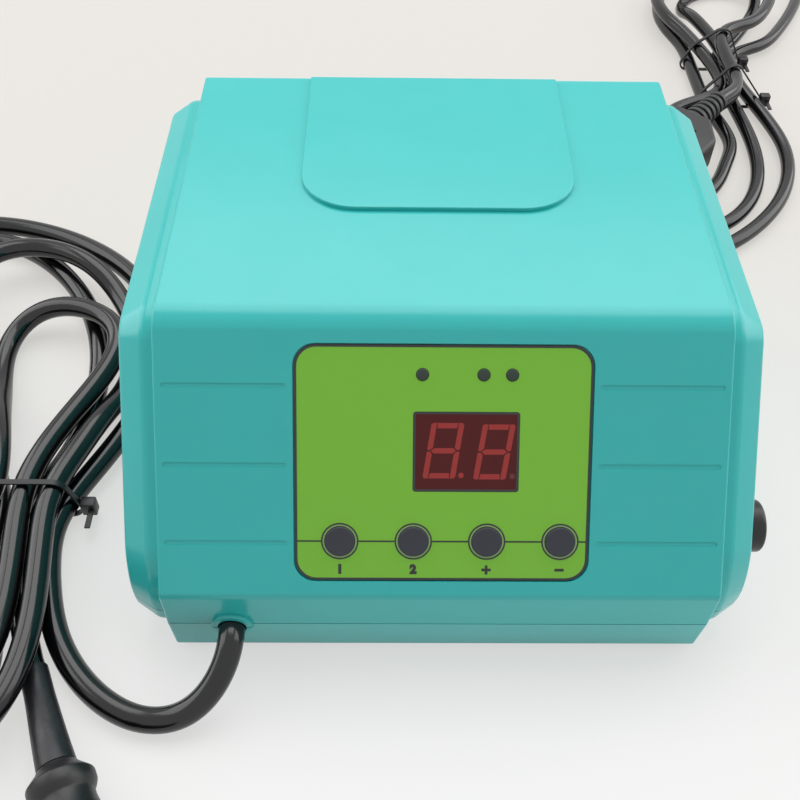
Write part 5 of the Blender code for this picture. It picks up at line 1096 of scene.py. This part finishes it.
def surround(points):
    """Give the corners of the smallest outline round points, anticlockwise."""
    # A corner goes where the outline turns less than this there, in square metres
    least_turn = 0.000000002
    corners = []
    for ordered in (sorted(points), sorted(points, reverse=True)):
        chain = []
        for point in ordered:
            here = Vector(point)
            while len(chain) > 1 and (chain[-1] - chain[-2]).cross(here - chain[-1]) < least_turn:
                chain.pop()
            chain.append(here)
        corners += chain[:-1]
    return corners


def make_tie(name, node, line, hank, reach):
    """Make a nylon cable tie round the strands of a hank's waist: strap, ratchet head and straight tail."""
    nylon = finish("black_nylon", moulded, linear("#17171A"), 0.42, 0.0008, 0.00001)
    radius = hank["diameter"] / 2
    y = hank["waist"][1] + reach
    planes = (y - TIE_WIDTH / 2, y, y + TIE_WIDTH / 2)
    low = radius + TIE_FIT + TIE_THICKNESS
    corners = surround([(max(z, low), x) for plane in planes for z, x in crossings(line, plane, radius)])
    bands = []
    for spare, half in ((TIE_FIT + TIE_THICKNESS, TIE_WIDTH / 2), (TIE_FIT, TIE_WIDTH)):
        spread = radius + spare
        band = bmesh.new()
        moved = inset_corners(corners, [-spread] * len(corners))
        face = draw_outline(band, moved, [spread] * len(moved), at(0, y - half) @ ALONG_Y)
        push(band, face, (0, 2 * half, 0))
        bmesh.ops.recalc_face_normals(band, faces=band.faces)
        bands.append(band)
    z, side = max(corners, key=lambda corner: corner.y)
    x = side + radius + TIE_FIT + TIE_THICKNESS / 2
    thick, wide, tall = 0.0045, 0.0035, 0.0055
    head = block(bmesh.new(), (x, y - wide / 2, z - tall / 2), (x + thick, y + wide / 2, z + tall / 2))
    soften(head, head.edges, 0.0005, 2)
    middle, long, half_wide, half_thick = x + 0.0031, 0.008, TIE_WIDTH / 2, TIE_THICKNESS / 2
    tail_low = (middle - half_wide, y - long, z - half_thick)
    tail = block(bmesh.new(), tail_low, (middle + half_wide, y, z + half_thick))
    soften(tail, tail.edges, 0.00012, 1)
    whole = carved(bands[0], [("DIFFERENCE", bands[1]), ("UNION", head), ("UNION", tail)])
    return piece(name, whole, nylon, replaces=(node,))


def ribbed(start, end, near, far, ribs, depth):
    """Give the profile of a tapered relief whose ribs leave grooves between them."""
    points = [(start, near)]
    pitch = (far - near) / (ribs + 0.5)
    # Each rib's pitch ends in a groove with steep sides
    for k in range(ribs):
        for share, sunk in ((0.55, 0), (0.6, depth), (0.95, depth), (1, 0)):
            height = near + pitch * (k + share)
            points.append((start + (end - start) * (height - near) / (far - near) - sunk, height))
    return points + [(end, far)]


def cord_looks(settings):
    """Make the cords' materials: sheath, shrink tube and moulded plug."""
    sheath = finish("black_extruded_pvc", pvc_sheath, settings.cord_colour)
    shrink = finish("black_heat_shrink", shrink_tube, settings.shrink_colour)
    plug = finish("black_moulded_pvc", moulded, settings.plug_colour, 0.38, 0.0006, 0.000012)
    return sheath, shrink, plug


def make_control_cord(settings):
    """Make the control cord: from inside its collar to the hank, its tie, its sleeve and its connector."""
    sheath, shrink, plug = cord_looks(settings)
    line, split = hanked_line(CORD_RUN, CORD_HANK, CORD_LOOPS, CORD_TAIL)
    inner = [(CORD_X, y, PARTING) for y in CORD_INNER_ENDS]
    whole = catmull_rom(np.vstack((inner, line)), CURVE_STEP / 2)
    nodes = ("front_cord", "front_cord_hank")
    cord = tube("control_cord", whole, CORD_DIAMETER / 2, sheath, nodes)
    tie = make_tie("control_cord_tie", "front_cord_tie", line[split:], CORD_HANK, 0)
    way = Vector(line[-1] - line[-3])
    level = Vector((way.x, way.y, 0)).normalized()
    overlap = 0.0003
    start = Vector(line[-1]) - way.normalized() * overlap
    end = Vector(line[-1]) + level * SLEEVE_LENGTH
    end.z = CONNECTOR_RADIUS + FIT
    lead = level * (SLEEVE_LENGTH / 3)
    path = bezier(start, start + lead, end - lead, end, SLEEVE_STEPS)
    # The sleeve widens to the connector's neck after the first quarter of its length
    straight = SLEEVE_STEPS / 4
    shares = [max(0, (k - straight) / (SLEEVE_STEPS - straight)) for k in range(SLEEVE_STEPS + 1)]
    radii = [SLEEVE_RADIUS + (CONNECTOR_NECK_RADIUS - SLEEVE_RADIUS) * share ** 1.2 for share in shares]
    nodes = ("front_cord_sleeve",)
    sleeve = tube("control_cord_sleeve", path, SLEEVE_RADIUS, shrink, nodes, radii, 7)
    body, barrel = connector(end, level, plug)


def connector(start, way, plastic):
    """Make the bulged inline connector and the plated barrel in its nose."""
    nickel = finish("nickel_plated_brass", plated_metal, linear(NICKEL), 0.22)
    long, neck = CONNECTOR_LENGTH, CONNECTOR_NECK_RADIUS
    bulge, waist = CONNECTOR_RADIUS, CONNECTOR_WAIST_RADIUS
    groove, socket, floor = bulge - 0.0005, 0.0034, long - 0.002
    profile = (
        (0, 0), (neck, 0), (neck + 0.0006, long * 0.03), (bulge - 0.0012, long * 0.075), (bulge, long * 0.11),
        (bulge, long * 0.17), (bulge - 0.0004, long * 0.2), (waist, long * 0.24), (waist, long * 0.28),
        (bulge - 0.0008, long * 0.35), (bulge, long * 0.41), (bulge, long * 0.8), (groove, long * 0.81),
        (groove, long * 0.83), (bulge, long * 0.84), (bulge, long), (socket, long), (socket, floor),
        (0, floor)
    )
    place = aim(start, way)
    body = turned(bmesh.new(), profile, place, rounding=0.0005, segments=4)
    shell = piece("connector", body, plastic, replaces=("front_connector",))
    outer, inner, low, high = 0.0028, 0.0019, long - 0.003, long + 0.009
    wall = ((outer, low), (outer, high), (inner, high), (inner, low))
    barrel = turned(bmesh.new(), wall, place, rounding=0.0002, ring=True)
    return shell, piece("connector_barrel", barrel, nickel)


def make_mains_lead(settings):
    """Make the mains lead with its hank, its ties, its relief at the case and its moulded plug."""
    sheath, _, plastic = cord_looks(settings)
    line, split = hanked_line(LEAD_RUN, LEAD_HANK, LEAD_LOOPS, LEAD_TAIL)
    whole = catmull_rom(np.vstack(((LEAD_X, LEAD_INNER_END, PARTING), line)), CURVE_STEP / 2)
    nodes = ("mains_cord", "mains_cord_hank")
    lead = tube("mains_lead", whole, LEAD_DIAMETER / 2, sheath, nodes)
    ties = [
        make_tie("mains_tie_1", "mains_tie_front", line[split:], LEAD_HANK, TIE_INSET),
        make_tie("mains_tie_2", "mains_tie_rear", line[split:], LEAD_HANK, LEAD_HANK["length"] - TIE_INSET),
    ]
    neck, flange, thick = RELIEF_NECK_RADIUS, 0.0062, 0.002
    outer = CASE_DEPTH + FIT
    inner, far = outer - 0.0042, outer + 0.0272
    profile = [(0, inner - thick), (flange, inner - thick), (flange, inner), (neck, inner), (neck, outer)]
    profile += [(flange, outer), (flange, outer + thick)]
    profile += ribbed(0.0052, 0.0038, outer + thick, far, 7, 0.0009) + [(0, far)]
    relief = turned(bmesh.new(), profile, aim((LEAD_X, 0, PARTING), (0, 1, 0)), rounding=0.0002)
    piece("lead_relief", relief, plastic, replaces=("mains_strain_relief",))
    plug = make_plug(Vector(line[-1]), Vector(line[-1] - line[-3]), plastic)


def make_plug(start, way, plastic):
    """Make the flat two-pin plug: shouldered body, ribbed relief, and pins with insulated roots."""
    nickel = finish("nickel_plated_brass", plated_metal, linear(NICKEL), 0.22)
    turn = aim(start, (way.x, way.y, 0))
    near, far, half, neck, thick = 0.024, 0.058, 0.017, 0.008, 0.0137
    shoulder, corner, shoulder_radius = near + 0.0119, 0.003, 0.006
    corners = ((near, -neck), (shoulder, -half), (far, -half), (far, half), (shoulder, half), (near, neck))
    body = bmesh.new()
    face = draw_outline(body, corners, (corner, shoulder_radius, corner) * 2, at(0, 0, -thick / 2))
    push(body, face, (0, 0, thick))
    bmesh.ops.recalc_face_normals(body, faces=body.faces)
    soften(body, sharp_edges(body, 60), 0.0022, 4)
    grips = bmesh.new()
    grip_size, grip_depth, pitch = (0.0014, 0.016), 0.0004, 0.0035
    for side in (-1, 1):
        low, high = sorted((side * (thick / 2 - grip_depth), side * (thick / 2 + BEYOND)))
        for k in range(4):
            slab(grips, (near + 0.013 + pitch * k, 0), grip_size, low, high, 0.0006)
    end = near + 0.001
    profile = [(0, 0)] + ribbed(0.0042, 0.0062, 0, end, 6, 0.0011) + [(0, end)]
    relief = turned(bmesh.new(), profile, ALONG_Y.inverted(), rounding=0.0002)
    whole = carved(body, [("UNION", relief), ("DIFFERENCE", grips)])
    shell = piece("plug", whole, plastic, CASE @ turn @ ALONG_Y, replaces=("mains_plug",))
    roots, pins = bmesh.new(), bmesh.new()
    apart, radius, low, high = 0.0093, 0.002, -0.001, 0.009
    sleeve_profile = ((0, low), (radius, low), (radius, high), (0, high))
    pin, root, tip = 0.00195, 0.008, 0.019
    pin_profile = ((0, root), (pin, root), (pin, tip - 0.0008), (0.0012, tip), (0, tip))
    for side in (-1, 1):
        place = turn @ at(side * apart, 0, far)
        turned(roots, sleeve_profile, place, 24, 0.0002)
        turned(pins, pin_profile, place, 24, 0.0002)
    return [shell, piece("plug_pin_sleeves", roots, plastic), piece("plug_pins", pins, nickel)]


# Inside of the case

def inner_finishes():
    """Make the finishes of the model's own solids inside the case, by the record's material slots."""
    black = finish("black_moulded_nylon", moulded, linear("#141416"), 0.5, 0.0007, 0.00001)
    steel = finish("zinc_plated_steel", plated_metal, linear(ZINC), 0.32)
    return {
        "zinc_steel": steel,
        "black_plastic": black,
        "display_module": finish("black_display_resin", moulded, linear("#3A1214"), 0.3, 0.001, 0.000004),
        "circuit_board": finish("fr4_circuit_board", circuit_board, linear("#1F5A34"), linear("#2F7A48")),
        "ivory_plastic": finish("ivory_nylon", moulded, linear("#E6E2D4"), 0.48, 0.0007, 0.000008),
        # 0.5 mm laminations stacked across the core
        "core_steel": finish(
            "steel_laminations", banded, linear("#6E6C66"), linear("#3E3D3A"), 0.0005, "X", 0.45, Metallic=1
        ),
        # Turns of 6 mm wide polyester tape round the coil
        "coil_tape": finish(
            "polyester_coil_tape", banded, linear("#C79A3C"), linear("#A67B2A"), 0.006, "Z", 0.35
        ),
        "black_aluminium": finish("black_anodised_aluminium", plated_metal, linear("#26272A"), 0.4, 0.0005),
        "fuse_glass": finish("fuse_glass", clear_tube, linear("#E4ECEC")),
        "green_plastic": finish("green_terminal_nylon", moulded, linear("#2E8A4A"), 0.42, 0.0007, 0.000008),
        # Cores 1.27 mm apart, side by side
        "grey_cable": finish(
            "grey_ribbon_pvc", banded, linear("#9A9DA0"), linear("#7C7F82"), 0.00127, "X", 0.5
        ),
    }


def dress_inner_nodes():
    """Give every solid of the model that stays a material by its slot."""
    finishes = inner_finishes()
    slots = {part["node"]: part["material_slot"] for part in frame["record"]["subparts"]}
    for name, node in frame["nodes"].items():
        if node.hide_render:
            continue
        material = finishes[slots[name]]
        if not node.material_slots:
            node.data.materials.append(material)
        for material_slot in node.material_slots:
            material_slot.link = "OBJECT"
            material_slot.material = material


# Stage

def lamp(name, place, size, power):
    """Hang a square soft lamp at a place, turned towards the box."""
    light = bpy.data.lights.new(name, "AREA")
    light.shape = "SQUARE"
    light.size = size
    light.energy = power
    way = Vector(LIGHT_TARGET) - Vector(place)
    turn = way.to_track_quat("-Z", "Y").to_matrix().to_4x4()
    add_object(name, light).matrix_world = Matrix.Translation(place) @ turn


def seen_rays(tree):
    """Give 1 where the camera, a gloss or a clear part looks at the surroundings, and 0 for their light."""
    path = add_node(tree, "ShaderNodeLightPath")
    seen = path.outputs["Is Camera Ray"]
    for ray in ("Is Glossy Ray", "Is Transmission Ray"):
        both = {0: seen, 1: path.outputs[ray]}
        seen = add_node(tree, "ShaderNodeMath", both, operation="MAXIMUM").outputs[0]
    return seen


def make_floor(settings):
    """Lay a matt white table top, with painted light that makes it brighter towards the front, and a glow
    that paints light into its shade, so that it looks pale and keeps a faint shadow.
    """
    material, tree, shader, place = start_material("matt_white_table", settings.floor_colour, 0.7)
    # Painted light: the table's colour runs from the dimmer back to the lit front, as the light falls on it
    depth = add_node(tree, "ShaderNodeSeparateXYZ", {"Vector": place}).outputs["Y"]
    share = add_node(tree, "ShaderNodeMapRange", {0: depth, 1: PAINTED_LIGHT_BACK, 2: PAINTED_LIGHT_FRONT}).outputs[0]
    ends = {0: share, 6: shade(settings.floor_colour, 1), 7: shade(settings.floor_front_lit_colour, 1)}
    colour = add_node(tree, "ShaderNodeMix", ends, data_type="RGBA").outputs[2]
    tree.links.new(colour, shader.inputs["Base Color"])
    # Painted light: a glow in that colour, seen by the camera, by gloss and by glass, lifts the table's shade
    pale = add_node(tree, "ShaderNodeEmission", {"Color": colour, "Strength": 1})
    factors = {0: seen_rays(tree), 1: settings.floor_paleness}
    amount = add_node(tree, "ShaderNodeMath", factors, operation="MULTIPLY").outputs[0]
    both = add_node(tree, "ShaderNodeMixShader", {0: amount, 1: shader.outputs[0], 2: pale.outputs[0]})
    tree.links.new(both.outputs[0], tree.nodes["Material Output"].inputs["Surface"])
    grain = add_node(tree, "ShaderNodeTexNoise", {"Vector": place, "Scale": 1 / 0.002, "Detail": 2})
    raise_bumps(tree, shader, grain.outputs[0], 0.00001)
    bm = bmesh.new()
    bmesh.ops.create_grid(bm, x_segments=1, y_segments=1, size=FLOOR_HALF)
    mesh = mesh_of(bm, "floor")
    mesh.materials.append(material)
    floor = add_object("floor", mesh)


def make_world(settings):
    """Fill the surroundings with an even light, and show them pale to the camera, gloss and glass."""
    world = bpy.data.worlds.new("pale_room")
    bpy.context.scene.world = world
    world.use_nodes = True
    tree = world.node_tree
    fill = add_node(tree, "ShaderNodeMapRange", {0: seen_rays(tree), 3: settings.fill, 4: SEEN_BRIGHTNESS})
    background = tree.nodes["Background"]
    background.inputs["Color"].default_value = (1, 1, 1, 1)
    tree.links.new(fill.outputs[0], background.inputs["Strength"])


def make_camera():
    """Set the camera where the photograph was taken from."""
    lens = bpy.data.cameras.new("camera")
    lens.lens = FOCAL_LENGTH
    lens.sensor_width = SENSOR_WIDTH
    lens.clip_start = 0.01
    made = add_object("camera", lens)
    turn = Matrix.Rotation(-CAMERA_YAW, 4, "Z") @ Matrix.Rotation(math.pi / 2 - CAMERA_PITCH, 4, "X")
    made.matrix_world = Matrix.Translation(CAMERA_PLACE) @ turn @ Matrix.Rotation(CAMERA_ROLL, 4, "Z")
    bpy.context.scene.camera = made


def make_stage(settings):
    """Set up the floor, the soft lamps, the world and the camera."""
    make_floor(settings)
    make_world(settings)
    make_camera()
    lamp("ceiling_light", (0.1, 1.1, 2.1), 2, settings.key_power)
    lamp("left_window_light", (-1, 0.35, 0.65), 1, settings.fill_power)
    lamp("right_window_light", (1, 0.35, 0.65), 1, settings.fill_power)
    bpy.context.scene.view_settings.view_transform = "Standard"


# Settings

def colour_setting(name, description, hex_colour):
    """Declare a colour that a user can change."""
    return FloatVectorProperty(
        name=name, description=description, default=linear(hex_colour), subtype="COLOR", min=0, max=1
    )


def length_setting(name, description, default, most):
    """Declare a length that a user can change."""
    return FloatProperty(
        name=name, description=description, default=default, min=0.00005, max=most, unit="LENGTH", precision=5
    )


def power_setting(name, description, default):
    """Declare a lamp's power that a user can change."""
    return FloatProperty(name=name, description=description, default=default, min=0, max=200, unit="POWER")


class ControlBoxCaseSettings(bpy.types.PropertyGroup):
    """Sizes and colour of the case."""

    case_colour: colour_setting("Case Colour", "Colour of the moulded cover and base", "#3BCDCA")
    case_roughness: FloatProperty(
        name="Case Roughness", description="Roughness of the case's surface", default=0.22, min=0.05, max=1,
        subtype="FACTOR"
    )
    cap_rounding: length_setting("Cap Rounding", "Rounding of the edges of the end caps", 0.001, 0.0015)
    band_rounding: length_setting("Band Rounding", "Rounding of the raised band's side edges", 0.0008, 0.0008)
    pad_height: length_setting("Pad Height", "How far the pad stands above the top", 0.0012, 0.0012)
    groove_depth: length_setting("Groove Depth", "Depth of the grooves beside the panel", 0.0009, 0.001)


class ControlBoxPanelSettings(bpy.types.PropertyGroup):
    """Sizes and colours of the control panel."""

    film_colour: colour_setting("Film Colour", "Colour of the panel film", "#84D036")
    border_colour: colour_setting("Border Colour", "Colour of the dark border round the film", "#181F20")
    ring_colour: colour_setting("Ring Colour", "Colour of the pale ring round each key", "#9CC47C")
    ink_colour: colour_setting("Ink Colour", "Colour of the printed line and captions", "#060A05")
    window_colour: colour_setting("Window Colour", "Colour of the display window", "#5C1012")
    # Painted light: the lit digits' glow is painted into this colour
    segment_glow_colour: colour_setting("Segment Colour", "Colour of the lit digits", "#AE2824")
    point_colour: colour_setting("Point Colour", "Colour of the dim decimal point", "#6E2622")
    lamp_colour: colour_setting("Lamp Colour", "Colour of the unlit lamps", "#2A3830")
    key_colour: colour_setting("Key Colour", "Colour of the key caps", "#2F323C")
    border_width: length_setting("Border Width", "Width of the dark border", 0.00055, 0.003)


class ControlBoxCordSettings(bpy.types.PropertyGroup):
    """Colours of the cords and what is on them."""

    cord_colour: colour_setting("Cord Colour", "Colour of both cords' sheaths", "#0C0D10")
    shrink_colour: colour_setting("Shrink Tube Colour", "Colour of the heat-shrink sleeve", "#1C1C20")
    plug_colour: colour_setting("Plug Colour", "Colour of the plug, relief and connector", "#151517")


class ControlBoxStageSettings(bpy.types.PropertyGroup):
    """Floor colour and light levels."""

    # The table's colour at the back and at the front: painted light makes the front lighter, because of how
    # the light falls on the table
    floor_colour: colour_setting("Floor Colour", "Colour of the table top at the back", "#E8E5E0")
    floor_front_lit_colour: colour_setting(
        "Floor Front Colour", "Colour of the table top at the front", "#FAFAFA"
    )
    # Painted light: the share of the table top that glows in its colour, which lifts its shade
    floor_paleness: FloatProperty(
        name="Floor Paleness", description="Share of the table top that shows its colour in the shade too",
        default=0.65, min=0, max=1, subtype="FACTOR"
    )
    fill: FloatProperty(
        name="Fill", description="Strength of the surrounding light", default=0.28, min=0, max=2
    )
    key_power: power_setting("Ceiling Light", "Power of the lamp above the box", 30)
    fill_power: power_setting("Window Light", "Power of the lamp at each side", 6)


# Operators

class CONTROL_BOX_OT_case(bpy.types.Operator):
    """Make the cover, the base, the feet and the case screws"""

    bl_idname = "control_box.case"
    bl_label = "Case"

    def execute(self, context):
        settings = context.scene.control_box_case
        make_cover(settings)
        make_base(settings)
        make_feet()
        make_case_screws()
        return {"FINISHED"}


class CONTROL_BOX_OT_overlay(bpy.types.Operator):
    """Make the printed film with its border, line, rings and captions"""

    bl_idname = "control_box.overlay"
    bl_label = "Panel Film"

    def execute(self, context):
        make_overlay(context.scene.control_box_panel)
        make_marks(context.scene.control_box_panel)
        return {"FINISHED"}


class CONTROL_BOX_OT_display(bpy.types.Operator):
    """Make the window, the digits and the indicator lamps"""

    bl_idname = "control_box.display"
    bl_label = "Display and Lamps"

    def execute(self, context):
        make_display(context.scene.control_box_panel)
        make_lamps(context.scene.control_box_panel)
        return {"FINISHED"}


class CONTROL_BOX_OT_keys(bpy.types.Operator):
    """Make the four keys and the power button"""

    bl_idname = "control_box.keys"
    bl_label = "Keys and Button"

    def execute(self, context):
        make_keys(context.scene.control_box_panel)
        make_button()
        return {"FINISHED"}


class CONTROL_BOX_OT_control_cord(bpy.types.Operator):
    """Make the control cord, its hank, its tie and its connector"""

    bl_idname = "control_box.control_cord"
    bl_label = "Control Cord"

    def execute(self, context):
        make_control_cord(context.scene.control_box_cords)
        return {"FINISHED"}


class CONTROL_BOX_OT_mains_lead(bpy.types.Operator):
    """Make the mains lead, its relief, its hank, its ties and its plug"""

    bl_idname = "control_box.mains_lead"
    bl_label = "Mains Lead"

    def execute(self, context):
        make_mains_lead(context.scene.control_box_cords)
        return {"FINISHED"}


class CONTROL_BOX_OT_inside(bpy.types.Operator):
    """Give the boards, the transformer and the other inner solids their materials"""

    bl_idname = "control_box.inside"
    bl_label = "Inner Materials"

    def execute(self, context):
        dress_inner_nodes()
        return {"FINISHED"}


class CONTROL_BOX_OT_stage(bpy.types.Operator):
    """Set up the floor, the light and the camera"""

    bl_idname = "control_box.stage"
    bl_label = "Stage"

    def execute(self, context):
        make_stage(context.scene.control_box_stage)
        return {"FINISHED"}


OPERATORS = (
    CONTROL_BOX_OT_stage,
    CONTROL_BOX_OT_control_cord,
    CONTROL_BOX_OT_mains_lead,
    CONTROL_BOX_OT_case,
    CONTROL_BOX_OT_overlay,
    CONTROL_BOX_OT_display,
    CONTROL_BOX_OT_keys,
    CONTROL_BOX_OT_inside,
)
SETTINGS = {
    "control_box_case": ControlBoxCaseSettings,
    "control_box_panel": ControlBoxPanelSettings,
    "control_box_cords": ControlBoxCordSettings,
    "control_box_stage": ControlBoxStageSettings,
}


class CONTROL_BOX_PT_sidebar(bpy.types.Panel):
    """Lists the control box's settings and operators."""

    bl_idname = "CONTROL_BOX_PT_sidebar"
    bl_label = "Control Box"
    bl_space_type = "VIEW_3D"
    bl_region_type = "UI"
    bl_category = "Control Box"

    def draw(self, context):
        for name, group in SETTINGS.items():
            box = self.layout.box()
            for setting in group.__annotations__:
                box.prop(getattr(context.scene, name), setting)
        for operator in OPERATORS:
            self.layout.operator(operator.bl_idname)


def register():
    """Register the settings, the operators and the panel."""
    for name, group in SETTINGS.items():
        bpy.utils.register_class(group)
        setattr(bpy.types.Scene, name, PointerProperty(type=group))
    for operator in OPERATORS:
        bpy.utils.register_class(operator)
    bpy.utils.register_class(CONTROL_BOX_PT_sidebar)


def unregister():
    """Remove the settings, the operators and the panel."""
    bpy.utils.unregister_class(CONTROL_BOX_PT_sidebar)
    for operator in reversed(OPERATORS):
        bpy.utils.unregister_class(operator)
    for name, group in SETTINGS.items():
        delattr(bpy.types.Scene, name)
        bpy.utils.unregister_class(group)


def main():
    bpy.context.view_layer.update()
    register()
    for operator in OPERATORS:
        group, name = operator.bl_idname.split(".")
        getattr(getattr(bpy.ops, group), name)()


if __name__ == "__main__":
    main()
